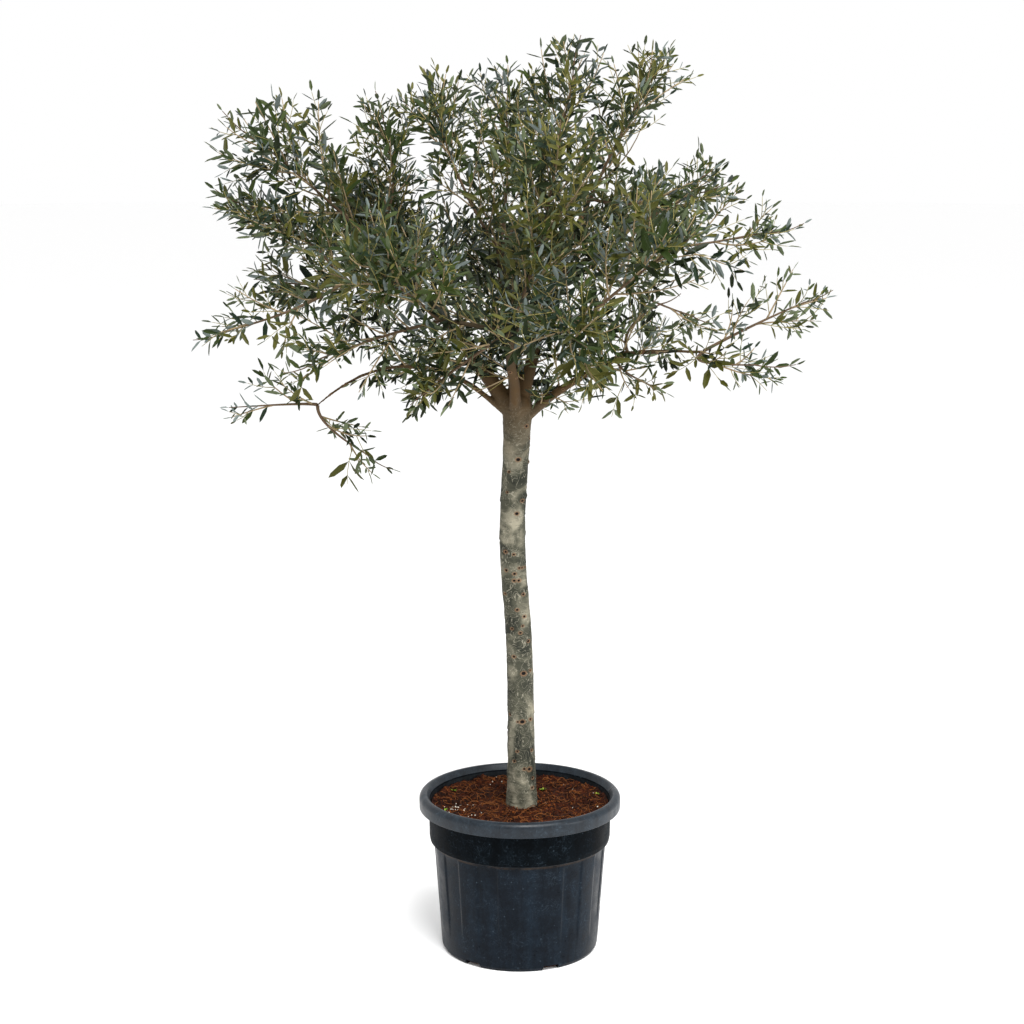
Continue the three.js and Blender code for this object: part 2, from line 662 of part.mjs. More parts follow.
const routes = routeBoughs();
const cutters = [makeTrunk(GAP)];
const sampleAt = (share) => ({ at: trunkAxis(share), radius: trunkRadius(share) });
const trunkSamples = Array.from({ length: LIMB_SAMPLES + 1 }, (_, i) => sampleAt(i / LIMB_SAMPLES));
const obstacles = [{ owner: "trunk", samples: trunkSamples }];
for (const { name, curve, radius, tipRadius } of routes.values()) {
  const whole = limb(curve, radius, tipRadius, LIMB.sides, LIMB.steps);
  const solid = largestBody(whole.subtract(Manifold.union(cutters)));
  tree.add(part(name, solid, MATERIALS.limb));
  cutters.push(limb(curve, radius, tipRadius, LIMB.sides, LIMB.steps, GAP));
  obstacles.push({ owner: name, samples: limbSamples(curve, radius, tipRadius, LIMB_SAMPLES) });
}

const spaces = MASSES.map((mass, index) => massSpace(mass, routes, index));
for (const { name, curve } of spaces) {
  const samples = limbSamples(curve, SHOOTS.stemRadius, SHOOTS.stemTip, STEM_SAMPLES);
  obstacles.push({ owner: name, samples });
}
const filled = [];
for (const space of spaces) {
  tree.add(part(space.name, makeMass(space, spaces, obstacles, cutters, filled), MATERIALS.foliage));
  cutters.push(limb(space.curve, SHOOTS.stemRadius, SHOOTS.stemTip, SHOOTS.sides, SHOOTS.stemSteps, GAP));
}

export default tree;
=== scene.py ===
"""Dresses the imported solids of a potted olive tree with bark, twigs, leaves, a moulded pot and compost."""
import logging
import math
from collections.abc import Callable
from dataclasses import dataclass, field
from enum import Enum, IntEnum
from functools import partial

import bmesh
import bpy
import numpy as np
from mathutils import Matrix, Quaternion, Vector, noise


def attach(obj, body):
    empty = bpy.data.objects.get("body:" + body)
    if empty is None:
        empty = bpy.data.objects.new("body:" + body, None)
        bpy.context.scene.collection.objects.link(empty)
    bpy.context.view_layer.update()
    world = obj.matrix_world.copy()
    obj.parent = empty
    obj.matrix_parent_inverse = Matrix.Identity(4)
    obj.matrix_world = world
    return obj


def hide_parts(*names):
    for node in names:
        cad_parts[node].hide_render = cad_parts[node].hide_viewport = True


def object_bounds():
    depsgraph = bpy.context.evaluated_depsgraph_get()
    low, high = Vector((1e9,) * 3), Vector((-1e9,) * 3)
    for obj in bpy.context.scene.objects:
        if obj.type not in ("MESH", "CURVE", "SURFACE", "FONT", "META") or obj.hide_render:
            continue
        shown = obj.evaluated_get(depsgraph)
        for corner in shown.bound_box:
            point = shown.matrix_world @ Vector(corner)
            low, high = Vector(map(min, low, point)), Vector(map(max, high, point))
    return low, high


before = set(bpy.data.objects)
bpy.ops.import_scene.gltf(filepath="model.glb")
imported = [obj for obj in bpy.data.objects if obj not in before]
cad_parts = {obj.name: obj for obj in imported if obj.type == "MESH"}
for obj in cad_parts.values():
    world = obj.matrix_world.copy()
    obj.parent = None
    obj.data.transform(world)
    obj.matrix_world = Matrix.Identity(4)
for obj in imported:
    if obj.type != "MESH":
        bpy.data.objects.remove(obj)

log = logging.getLogger("olive")
MODEL_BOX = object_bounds()
MM = 0.001
UP = np.array([0.0, 0.0, 1.0])
GOLDEN_ANGLE = math.pi * (3.0 - math.sqrt(5.0))
ASIDE = 0.45  # how far beside the middle of its bough's tip a limb starts, in radii of that tip
STEM_BEND = 0.18  # how far before the middle of its mass a stem is pulled to, in lengths of the mass
BODY = "root"
Colour = tuple[float, float, float, float]
Place = tuple[float, float, float]
AddNode = Callable[..., bpy.types.Node]


# ---- Materials ----


class Mix(IntEnum):
    """Sockets of a colour Mix node, by number because its other kinds of value share their names."""

    FACTOR = 0
    A = 6
    B = 7
    RESULT = 2


def srgb(text: str) -> Colour:
    """Turns an sRGB hex colour into a linear one.

    Args:
        text: The colour as "#rrggbb".

    Returns:
        The linear red, green, blue and an alpha of 1.
    """
    parts = [int(text[i : i + 2], 16) / 255.0 for i in (1, 3, 5)]
    red, green, blue = (p / 12.92 if p <= 0.04045 else ((p + 0.055) / 1.055) ** 2.4 for p in parts)
    return (red, green, blue, 1.0)


def scale_of(size_mm: float) -> float:
    """The scale of a pattern whose features have a size in millimetres."""
    return 1.0 / (size_mm * MM)


def feed(node: bpy.types.Node, inputs: dict) -> None:
    """Sets and links a node's inputs.

    Args:
        node: The node.
        inputs: By each input's name or number: a value, an output socket, or a node whose main output it is.
    """
    for name, value in inputs.items():
        if isinstance(value, bpy.types.Node):
            value = value.outputs[Mix.RESULT if value.bl_idname == "ShaderNodeMix" else 0]
        if isinstance(value, bpy.types.NodeSocket):
            node.id_data.links.new(value, node.inputs[name])
        else:
            node.inputs[name].default_value = value


def add_node(
    tree: bpy.types.NodeTree,
    kind: str,
    inputs: dict | None = None,
    stops: list[tuple[float, str]] | None = None,
    **settings: object,
) -> bpy.types.Node:
    """Adds one shader node with its settings and links.

    Args:
        tree: The node tree to add it to.
        kind: The node's type name, without the "ShaderNode" that starts it.
        inputs: What its inputs get, as feed takes it.
        stops: A colour ramp's places from 0 to 1 with their sRGB hex colours, in order.
        **settings: The node's own properties.

    Returns:
        The new node.
    """
    node = tree.nodes.new("ShaderNode" + kind)
    for name, value in settings.items():
        setattr(node, name, value)
    feed(node, inputs or {})
    for number, (place, colour) in enumerate(stops or []):
        elements = node.color_ramp.elements
        element = elements[number] if number < len(elements) else elements.new(place)
        element.position = place
        element.color = srgb(colour)
    return node


def new_material(name: str, colour: str) -> tuple[bpy.types.Material, AddNode, bpy.types.Node]:
    """Starts a node material.

    Args:
        name: The material's name.
        colour: Its main colour, which the viewport shows.

    Returns:
        The material, add_node for its own node tree, and its Principled shader.
    """
    material = bpy.data.materials.new(name)
    material.use_nodes = True
    material.diffuse_color = srgb(colour)
    shader = material.node_tree.nodes["Principled BSDF"]
    feed(shader, {"Base Color": srgb(colour)})
    return material, partial(add_node, material.node_tree), shader


def hairlines(add: AddNode, place: bpy.types.NodeSocket, size_mm: float, width: float) -> bpy.types.Node:
    """Draws thin curling lines, where a swirled noise crosses its middle value.

    Args:
        add: The material's add_node.
        place: Where the surface is.
        size_mm: The size of the curls.
        width: Half the width of a line, as a span of the noise's values.

    Returns:
        The node that gives 1 in the middle of a line and 0 beside it.
    """
    swirl = add("TexNoise", {"Vector": place, "Scale": scale_of(size_mm), "Detail": 1.0, "Distortion": 2.2})
    apart = add("Math", {0: swirl, 1: 0.5}, operation="SUBTRACT")
    beside = add("Math", {0: apart}, operation="ABSOLUTE")
    return add("MapRange", {"Value": beside, "From Max": width, "To Min": 1.0, "To Max": 0.0})


@dataclass(frozen=True)
class PlainFinish:
    """A surface of one colour with a fine uneven skin, for small things that take their tints one by one."""

    name: str
    colour: str
    roughness: float
    gloss: float = 0.2
    skin_mm: float = 2.5
    uneven: float = 0.08  # how far its roughness strays
    relief: float = 0.25

    def build(self) -> bpy.types.Material:
        """Makes the material: its noise only moves the surface and its gloss, and not its colour.

        Returns:
            The material.
        """
        material, add, shader = new_material(self.name, self.colour)
        place = add("TexCoord").outputs["Object"]
        skin = add("TexNoise", {"Vector": place, "Scale": scale_of(self.skin_mm)})
        low, high = self.roughness - self.uneven, self.roughness + self.uneven
        matt = add("MapRange", {"Value": skin, "To Min": low, "To Max": high})
        bump = add("Bump", {"Strength": self.relief, "Distance": 0.6 * MM, "Height": skin})
        feed(shader, {"Roughness": matt, "Normal": bump, "IOR": 1.45, "Specular IOR Level": self.gloss})
        return material


@dataclass(frozen=True)
class MouldedPolypropylene:
    """Injection-moulded black polypropylene from outdoors: a satin skin, dulled by dust and fine scuffs."""

    name: str
    colour: str
    dust: str
    dusty: float
    roughness: float
    gloss: float = 0.5
    streak_mm: float = 26.0  # width of the pale runs that watering leaves down a wall
    run_mm: float = 454.5  # and their length
    blotch_mm: float = 41.67
    scuff_mm: float = 7.0
    speck_mm: float = 22.22  # how far apart the pale specks lie
    grain_mm: float = 2.381  # coarser than the mould's real grain, which would not show
    scratch: str = "#3c4852"
    worn: str = "#8e959c"
    grime_height: float | None = None  # millimetres up, where dirt gathers along a step
    grime: str = "#3d3024"

    def build(self) -> bpy.types.Material:
        """Makes the material: runs down the wall, blotches, scuffs, a line of dirt and a fine grain.

        Returns:
            The material.
        """
        material, add, shader = new_material(self.name, self.colour)
        place = add("TexCoord").outputs["Object"]
        narrow, long = scale_of(self.streak_mm), scale_of(self.run_mm)
        runs = add("Mapping", {"Vector": place, "Scale": (narrow, narrow, long)})
        streaks = add("TexNoise", {"Vector": runs, "Scale": 1.0, "Detail": 4.0, "Roughness": 0.6})
        blotched = {"Scale": scale_of(self.blotch_mm), "Detail": 5.0, "Roughness": 0.62}
        blotches = add("TexNoise", {"Vector": place, **blotched})
        scuffed = {"Scale": scale_of(self.scuff_mm), "Detail": 3.0, "Roughness": 0.7, "Distortion": 1.6}
        scuffs = add("TexNoise", {"Vector": place, **scuffed})
        dusted = add("Math", {0: streaks, 1: blotches}, operation="MULTIPLY")
        pale = add("MapRange", {"Value": dusted, "From Min": 0.17, "From Max": 0.4, "To Max": self.dusty})
        dusting = {Mix.FACTOR: pale, Mix.A: srgb(self.colour), Mix.B: srgb(self.dust)}
        dirty = add("Mix", dusting, data_type="RGBA")
        marks = add("ValToRGB", {"Fac": scuffs}, stops=[(0.3, self.worn), (0.55, "#ffffff")])
        mottling = {Mix.FACTOR: 0.7, Mix.A: dirty, Mix.B: marks}
        mottled = add("Mix", mottling, data_type="RGBA", blend_type="MULTIPLY")
        lines = hairlines(add, place, 2.5 * self.scuff_mm, 0.026)
        faint = add("MapRange", {"Value": blotches, "From Min": 0.4, "From Max": 0.65, "To Max": 0.4})
        scratched = add("Math", {0: lines, 1: faint}, operation="MULTIPLY")
        dots = add("TexVoronoi", {"Vector": place, "Scale": scale_of(self.speck_mm)})
        dotted = {"From Min": 0.05, "From Max": 0.1, "To Min": 0.45, "To Max": 0.0}
        specks = add("MapRange", {"Value": dots, **dotted})
        pale_marks = add("Math", {0: scratched, 1: specks}, operation="MAXIMUM")
        marking = {Mix.FACTOR: pale_marks, Mix.A: mottled, Mix.B: srgb(self.scratch)}
        colour = add("Mix", marking, data_type="RGBA")
        if self.grime_height is not None:
            colour = self.with_grime(add, place, colour, blotches)
        low, high = self.roughness - 0.07, self.roughness + 0.14
        satin = {"From Min": 0.35, "From Max": 0.65, "To Min": low, "To Max": high}
        matt = add("MapRange", {"Value": blotches, **satin})
        grain = add("TexNoise", {"Vector": place, "Scale": scale_of(self.grain_mm), "Detail": 2.0})
        fine = add("Bump", {"Strength": 0.12, "Distance": 0.6 * MM, "Height": grain})
        rough = add("Bump", {"Strength": 0.25, "Distance": 1.2 * MM, "Height": scuffs, "Normal": fine})
        feed(shader, {"Base Color": colour, "Roughness": matt, "Normal": rough})
        feed(shader, {"IOR": 1.49, "Specular IOR Level": self.gloss})
        return material

    def with_grime(
        self, add: AddNode, place: bpy.types.NodeSocket, clean: bpy.types.Node, uneven: bpy.types.Node
    ) -> bpy.types.Node:
        """Lays a broken line of dried dirt round the wall.

        Args:
            add: The material's add_node.
            place: Where the surface is.
            clean: The colour without it.
            uneven: Noise that breaks the line up.

        Returns:
            The node that gives the colour with it.
        """
        height = add("SeparateXYZ", {"Vector": place}).outputs["Z"]
        offset = add("Math", {0: height, 1: self.grime_height * MM}, operation="SUBTRACT")
        apart = add("Math", {0: offset}, operation="ABSOLUTE")
        band = {"From Min": 1.0 * MM, "From Max": 4.0 * MM, "To Min": 0.6, "To Max": 0.0}
        near = add("MapRange", {"Value": apart, **band})
        broken = add("MapRange", {"Value": uneven, "From Min": 0.38, "From Max": 0.58})
        there = add("Math", {0: near, 1: broken}, operation="MULTIPLY")
        return add("Mix", {Mix.FACTOR: there, Mix.A: clean, Mix.B: srgb(self.grime)}, data_type="RGBA")


@dataclass(frozen=True)
class OliveBark:
    """Young olive bark: smooth and pale grey-green, browner on the boughs, its dark scars ringed in rust."""

    name: str = "olive_bark"
    light: str = "#918c7b"
    pale: str = "#47473c"
    green: str = "#272922"
    # the darkest tone: painted shade in the creases of the wrinkles
    painted_shade: str = "#3a352b"
    swirl: str = "#a9a391"
    brown: str = "#47351e"
    bough: str = "#362c1d"
    ring: str = "#745840"
    pit: str = "#080504"
    fork_height: float = 1.35
    blotch_mm: float = 66.67
    swirl_mm: float = 26.0
    grain_mm: float = 3.3333
    wrinkle_mm: tuple[float, float] = (25.0, 4.3)  # a wrinkle's length round the trunk, and its height

    def build(self) -> bpy.types.Material:
        """Makes the material: blotches, painted shade in the creases of the wrinkles, browner wood above the
        fork, and the mesh's scars.

        Returns:
            The material.
        """
        material, add, shader = new_material(self.name, self.pale)
        place = add("TexCoord").outputs["Object"]
        blotched = {"Scale": scale_of(self.blotch_mm), "Detail": 5.0, "Roughness": 0.52, "Distortion": 0.8}
        blotches = add("TexNoise", {"Vector": place, **blotched})
        tones = [(0.36, self.green), (0.5, self.pale), (0.72, self.light)]
        skin = add("ValToRGB", {"Fac": blotches}, stops=tones)
        long, high = map(scale_of, self.wrinkle_mm)
        squash = add("Mapping", {"Vector": place, "Scale": (long, long, high)})
        wrinkles = add("TexNoise", {"Vector": squash, "Scale": 1.0, "Detail": 4.0, "Roughness": 0.65})
        # painted shade: the low parts of the wrinkles, which the bump sinks, are darkened into creases
        depths = [(0.3, self.painted_shade), (0.46, "#f4f2ec"), (1.0, "#ffffff")]
        creases = add("ValToRGB", {"Fac": wrinkles}, stops=depths)
        crease_shading = {Mix.FACTOR: 0.55, Mix.A: skin, Mix.B: creases}
        wrinkled_with_shade = add("Mix", crease_shading, data_type="RGBA", blend_type="MULTIPLY")
        swirls = add("Math", {0: hairlines(add, place, self.swirl_mm, 0.022), 1: 0.5}, operation="MULTIPLY")
        colour = add("Mix", {Mix.FACTOR: swirls, Mix.A: wrinkled_with_shade, Mix.B: srgb(self.swirl)}, data_type="RGBA")
        height = add("SeparateXYZ", {"Vector": place}).outputs["Z"]
        waver = add("Math", {0: blotches, 1: 0.22}, operation="MULTIPLY")
        level = add("Math", {0: height, 1: waver}, operation="ADD")
        middle = self.fork_height + 0.1
        scar = add("Attribute", attribute_name="scar").outputs["Fac"]
        for value, start, end, most, tint in (
            (level, self.fork_height - 0.05, middle, 1.0, self.brown),
            (level, middle, middle + 0.16, 1.0, self.bough),
            (scar, 0.1, 0.4, 0.8, self.ring),
            (scar, 0.42, 0.62, 1.0, self.pit),
        ):
            share = add("MapRange", {"Value": value, "From Min": start, "From Max": end, "To Max": most})
            colour = add("Mix", {Mix.FACTOR: share, Mix.A: colour, Mix.B: srgb(tint)}, data_type="RGBA")
        grain = add("TexNoise", {"Vector": place, "Scale": scale_of(self.grain_mm), "Detail": 4.0})
        fine = add("Bump", {"Strength": 0.35, "Distance": 0.8 * MM, "Height": grain})
        rough = add("Bump", {"Strength": 0.5, "Distance": 1.2 * MM, "Height": wrinkles, "Normal": fine})
        feed(shader, {"Base Color": colour, "Normal": rough})
        feed(shader, {"Roughness": 0.78, "IOR": 1.4, "Specular IOR Level": 0.25})
        return material


@dataclass(frozen=True)
class CoirCompost:
    """Moist compost of milled coconut coir: red-brown crumbs, with painted shade darkening the hollows
    between them.
    """

    name: str = "coir_compost"
    crumb_mm: float = 6.0
    patch_mm: float = 35.71
    colours: tuple[str, ...] = ("#150803", "#2e1408", "#4a220f", "#693a1b")
    # painted shade for the hollows between the crumbs
    hollow_shade: str = "#3a2a22"

    def build(self) -> bpy.types.Material:
        """Makes the material: patches of colour, with painted shade in the hollows between the crumbs.

        Returns:
            The material.
        """
        material, add, shader = new_material(self.name, self.colours[1])
        place = add("TexCoord").outputs["Object"]
        patched = {"Scale": scale_of(self.patch_mm), "Detail": 6.0, "Roughness": 0.7}
        patches = add("TexNoise", {"Vector": place, **patched})
        crumbs = add("TexVoronoi", {"Vector": place, "Scale": scale_of(self.crumb_mm)})
        body = add("ValToRGB", {"Fac": patches}, stops=list(zip((0.3, 0.45, 0.6, 0.78), self.colours)))
        # painted shade: dark towards the edge of each crumb, where the bump sinks the hollows
        painted_shade = add("ValToRGB", {"Fac": crumbs}, stops=[(0.1, "#ffffff"), (0.75, self.hollow_shade)])
        shading = {Mix.FACTOR: 0.7, Mix.A: body, Mix.B: painted_shade}
        colour = add("Mix", shading, data_type="RGBA", blend_type="MULTIPLY")
        lumps = add("Bump", {"Strength": 0.8, "Distance": 3.0 * MM, "Height": crumbs}, invert=True)
        grit = add("Bump", {"Strength": 0.6, "Distance": 2.0 * MM, "Height": patches, "Normal": lumps})
        feed(shader, {"Base Color": colour, "Normal": grit, "Roughness": 0.9, "Specular IOR Level": 0.1})
        return material


# ---- Meshes ----


def placed(name: str, data: bpy.types.ID) -> bpy.types.Object:
    """Makes an object and links it into the scene.

    Args:
        name: Its name.
        data: Its mesh, light or camera.

    Returns:
        The object.
    """
    thing = bpy.data.objects.new(name, data)
    bpy.context.scene.collection.objects.link(thing)
    return thing


def finished(
    name: str, mesh: bpy.types.Mesh, materials: list[bpy.types.Material], replaced: list[str]
) -> bpy.types.Object:
    """Puts a finished mesh into the scene as one piece of the plant.

    Args:
        name: The piece's name.
        mesh: Its mesh, already in place.
        materials: The materials of its slots.
        replaced: The solids that it stands for.

    Returns:
        The new object.
    """
    piece = placed(name, mesh)
    for material in materials:
        mesh.materials.append(material)
    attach(piece, BODY)
    if replaced:
        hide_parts(*replaced)
    log.info("%s: %d faces", name, len(mesh.polygons))
    return piece


def mesh_of(bm: bmesh.types.BMesh, name: str, smooth: bool = True) -> bpy.types.Mesh:
    """Turns a bmesh into a mesh and frees it.

    Args:
        bm: The bmesh.
        name: The mesh's name.
        smooth: Whether its faces are shaded smooth.

    Returns:
        The mesh.
    """
    mesh = bpy.data.meshes.new(name)
    bm.to_mesh(mesh)
    bm.free()
    mesh.polygons.foreach_set("use_smooth", [smooth] * len(mesh.polygons))
    mesh.update()
    return mesh


def applied(thing: bpy.types.Object, *tools: bpy.types.Object) -> bmesh.types.BMesh:
    """Applies an object's modifiers, then removes it and the objects that they use.

    Args:
        thing: The object.
        *tools: The objects that its modifiers use.

    Returns:
        Its shape.
    """
    evaluated = thing.evaluated_get(bpy.context.evaluated_depsgraph_get())
    bm = bmesh.new()
    bm.from_mesh(evaluated.to_mesh())
    for item in (thing, *tools):
        bpy.data.objects.remove(item)
    return bm


def turned(line: list[tuple[float, float]], columns: int) -> bmesh.types.BMesh:
    """Turns a line about the upright axis into a closed body.

    Args:
        line: Its corners in millimetres as radius and height, with both ends on the axis.
        columns: How many steps the turn has.

    Returns:
        The body.
    """
    bm = bmesh.new()
    corners = [bm.verts.new((radius * MM, 0.0, height * MM)) for radius, height in line]
    edges = [bm.edges.new(pair) for pair in zip(corners, corners[1:])]
    whole = {"axis": (0, 0, 1), "cent": (0, 0, 0), "angle": 2 * math.pi, "use_merge": True}
    bmesh.ops.spin(bm, geom=[*corners, *edges], steps=columns, **whole)
    bmesh.ops.remove_doubles(bm, verts=bm.verts, dist=1e-5)
    bmesh.ops.recalc_face_normals(bm, faces=bm.faces)
    return bm


@dataclass
class Soup:
    """Small meshes of one kind, gathered as arrays and joined into one."""

    points: list[np.ndarray] = field(default_factory=list)
    faces: list[np.ndarray] = field(default_factory=list)
    kinds: list[np.ndarray] = field(default_factory=list)
    count: int = 0

    def add(self, points: np.ndarray, faces: np.ndarray, kinds: np.ndarray | int = 0) -> None:
        """Adds one small mesh.

        Args:
            points: Its corners, one row each.
            faces: Its triangles, as numbers of its own corners.
            kinds: The material slot of each triangle, or of all.
        """
        self.points.append(points)
        self.faces.append(faces + self.count)
        self.kinds.append(np.broadcast_to(np.asarray(kinds), (len(faces),)))
        self.count += len(points)

    def mesh(self, name: str, smooth: bool = True) -> bpy.types.Mesh:
        """Joins everything gathered.

        Args:
            name: The mesh's name.
            smooth: Whether its faces are shaded smooth.

        Returns:
            The joined mesh.
        """
        mesh = bpy.data.meshes.new(name)
        faces = np.concatenate(self.faces)
        mesh.from_pydata(np.concatenate(self.points), [], faces)
        mesh.polygons.foreach_set("material_index", np.concatenate(self.kinds).astype(np.int32))
        mesh.polygons.foreach_set("use_smooth", np.full(len(faces), smooth))
        mesh.update()
        return mesh


def unit(vectors: np.ndarray) -> np.ndarray:
    """Scales vectors, one a row or a single one, to a length of 1."""
    return vectors / np.maximum(np.linalg.norm(vectors, axis=-1, keepdims=True), 1e-9)


def across(direction: np.ndarray, angle: float) -> np.ndarray:
    """A unit vector at right angles to a direction, turned about it.

    Args:
        direction: The direction, of length 1.
        angle: The turn in radians.

    Returns:
        The vector.
    """
    level = np.array([1.0, 0.0, 0.0]) if abs(direction[2]) > 0.9 else UP
    side = unit(np.cross(level, direction))
    return side * math.cos(angle) + np.cross(direction, side) * math.sin(angle)


def tube(path: np.ndarray, radii: np.ndarray, sides: int) -> tuple[np.ndarray, np.ndarray]:
    """A closed tube along a path, as arrays.

    Args:
        path: Its middle line, one point a row.
        radii: Its radius at each point.
        sides: How many sides it has.

    Returns:
        Its corners and its triangles.
    """
    headings = unit(np.gradient(path, axis=0))
    side = across(headings[0], 0.0)
    rings = []
    turns = np.linspace(0.0, 2.0 * math.pi, sides, endpoint=False)
    for point, heading, radius in zip(path, headings, radii):
        side = unit(side - heading * side.dot(heading))
        other = np.cross(heading, side)
        rings.append(point + radius * (np.outer(np.cos(turns), side) + np.outer(np.sin(turns), other)))
    points = np.concatenate([*rings, path[:1], path[-1:]])
    start = np.arange(len(path) - 1)[:, None] * sides
    here = np.arange(sides)[None, :]
    after = (here + 1) % sides
    a, b, c, d = start + here, start + after, start + sides + after, start + sides + here
    walls = np.concatenate([np.stack([a, b, c], -1).reshape(-1, 3), np.stack([a, c, d], -1).reshape(-1, 3)])
    foot, tip = len(points) - 2, len(points) - 1
    last = (len(path) - 1) * sides
    here, after = here[0], after[0]
    foot_cap = np.stack([np.full(sides, foot), after, here], -1)
    tip_cap = np.stack([np.full(sides, tip), last + here, last + after], -1)
    return points, np.concatenate([walls, foot_cap, tip_cap])


def point_along(path: np.ndarray, marks: np.ndarray, at: float) -> np.ndarray:
    """The point of a path at a place along it, with the same measure at each of its points given by marks."""
    return np.array([np.interp(at, marks, path[:, axis]) for axis in range(3)])


def value_noise(place: np.ndarray, scale_mm: float) -> float:
    """Smooth noise from about -1 to 1 at a place, for lumps of a size."""
    return noise.noise(Vector(place) / (scale_mm * MM))


# ---- The tree's build: the same rule and places as its solids, with slimmer boughs ----


@dataclass(frozen=True)
class Bough:
    """A bough in millimetres and degrees: it leaves the trunk "below" its top, or another bough's tip."""

    name: str
    of: str
    below: float
    radii: tuple[float, float]
    tip: tuple[float, float, float]
    rise: float


@dataclass(frozen=True)
class Mass:
    """A mass of foliage: a spindle with its far end at "tip", climbing to it at "pitch"; a full one has 1."""

    name: str
    of: str
    tip: tuple[float, float, float]
    pitch: float
    length: float
    girth: float
    heading: float | None = None
    fullness: float = 1.0


BOUGHS = (
    Bough("bough_left", "trunk", 26, (20, 11), (176, 215, 1560), 8),
    Bough("bough_right", "trunk", 22, (17, 10), (14, 85, 1610), -6),
    Bough("bough_back", "trunk", 30, (16, 10), (96, 190, 1560), 6),
    Bough("bough_leader", "trunk", 18, (15, 9), (140, 62, 1665), 0),
    Bough("bough_front", "trunk", 34, (14, 9), (262, 200, 1495), 10),
    Bough("bough_right_low", "trunk", 40, (11, 6.5), (346, 250, 1436), 26),
    Bough("bough_left_low", "trunk", 44, (7, 2.6), (192, 468, 1322), 225),
    Bough("limb_left_top", "bough_left", 0, (9, 5), (178, 345, 1690), 4),
    Bough("limb_left_side", "bough_left", 0, (8, 4.5), (187, 405, 1592), 14),
    Bough("limb_right_top", "bough_right", 0, (8, 5), (2, 158, 1780), 2),
    Bough("limb_right_side", "bough_right", 0, (8, 4.5), (355, 248, 1668), 8),
    Bough("limb_back_left", "bough_back", 0, (8, 5), (128, 300, 1610), 8),
    Bough("limb_back_right", "bough_back", 0, (8, 5), (52, 290, 1610), 8),
    Bough("limb_front_left", "bough_front", 0, (7, 4.5), (232, 290, 1525), 10),
    Bough("limb_front_right", "bough_front", 0, (7, 4.5), (302, 290, 1540), 10),
    Bough("limb_right_far", "bough_right_low", 0, (6, 3.6), (350, 420, 1440), 6),
)

MASSES = (
    Mass("foliage_left_top", "limb_left_top", (182, 685, 1990), 40, 480, 205, fullness=0.52),
    Mass("foliage_left_upper", "limb_left_top", (177, 332, 2042), 76, 440, 175, fullness=0.5),
    Mass("foliage_left_side", "limb_left_side", (183, 708, 1812), 26, 430, 165, fullness=0.75),
    Mass("foliage_left_shoot", "limb_left_side", (189, 765, 1465), -14, 400, 130, fullness=0.34),
    Mass("foliage_left_inner", "bough_left", (160, 470, 1820), 38, 460, 185, fullness=1),
    Mass("foliage_left_tip", "bough_left_low", (190, 690, 1318), -2, 300, 130, fullness=0.3),
    Mass("foliage_hanging", "bough_left_low", (197, 284, 1160), -32, 330, 120, 4, fullness=0.28),
    Mass("foliage_top_left", "bough_leader", (174, 225, 2092), 74, 460, 180, fullness=0.45),
    Mass("foliage_top", "bough_leader", (4, 140, 2165), 80, 460, 180, fullness=0.42),
    Mass("foliage_top_back", "bough_leader", (98, 300, 2085), 60, 460, 205, fullness=0.5),
    Mass("foliage_right_top", "limb_right_top", (358, 345, 2132), 60, 420, 185, fullness=0.6),
    Mass("foliage_right_upper", "limb_right_top", (354, 455, 1858), 30, 330, 120, fullness=0.4),
    Mass("foliage_right_side", "limb_right_side", (4, 508, 1832), 22, 410, 165, fullness=0.5),
    Mass("foliage_right_shoot", "limb_right_side", (350, 662, 1735), 13, 440, 135, fullness=0.34),
    Mass("foliage_right_far", "limb_right_far", (353, 728, 1590), 24, 340, 120, fullness=0.3),
    Mass("foliage_right_low", "limb_right_far", (347, 655, 1420), 2, 420, 120, fullness=0.4),
    Mass("foliage_right_inner", "bough_right_low", (10, 400, 1570), 26, 280, 130, fullness=0.28),
    Mass("foliage_right_under", "bough_right_low", (338, 375, 1345), -22, 280, 140, fullness=0.6),
    Mass("foliage_front_left", "limb_front_left", (228, 580, 1715), 30, 410, 220, fullness=0.7),
    Mass("foliage_droop_left", "limb_front_left", (212, 625, 1415), -16, 420, 160, fullness=0.5),
    Mass("foliage_front_top", "bough_front", (284, 350, 1980), 66, 480, 220, fullness=0.6),
    Mass("foliage_front_under", "bough_front", (230, 395, 1338), -24, 300, 160, fullness=0.55),
    Mass("foliage_front_right", "limb_front_right", (312, 565, 1740), 30, 400, 220, fullness=0.55),
    Mass("foliage_front", "limb_front_right", (284, 580, 1500), -4, 380, 185, fullness=0.6),
    Mass("foliage_back_left", "limb_back_left", (146, 610, 1775), 28, 440, 225, fullness=0.65),
    Mass("foliage_back_left_low", "limb_back_left", (160, 700, 1580), 4, 420, 190, fullness=0.4),
    Mass("foliage_back_right", "limb_back_right", (50, 610, 1820), 34, 440, 230, fullness=0.4),
    Mass("foliage_back_right_low", "limb_back_right", (32, 590, 1460), -16, 380, 170, fullness=0.35),
    Mass("foliage_back", "bough_back", (90, 600, 1640), 8, 440, 205, fullness=0.45),
)


@dataclass(frozen=True)
class Clearing:
    """An opening in the crown that runs from front to back, in millimetres: its middle and half its size.

    One that is "shallow" is open in front of the trunk only.
    """

    x: float
    height: float
    half_width: float
    half_height: float
    shallow: bool = False

    def holds(self, points: np.ndarray) -> np.ndarray:
        """Finds the points that lie in it.

        Args:
            points: Points in millimetres, one a row.

        Returns:
            True for each point that does.
        """
        aside = (points[:, 0] - self.x) / self.half_width
        above = (points[:, 2] - self.height) / self.half_height
        return (np.hypot(aside, above) < 1.0) & ~(self.shallow & (points[:, 1] > 0.0))


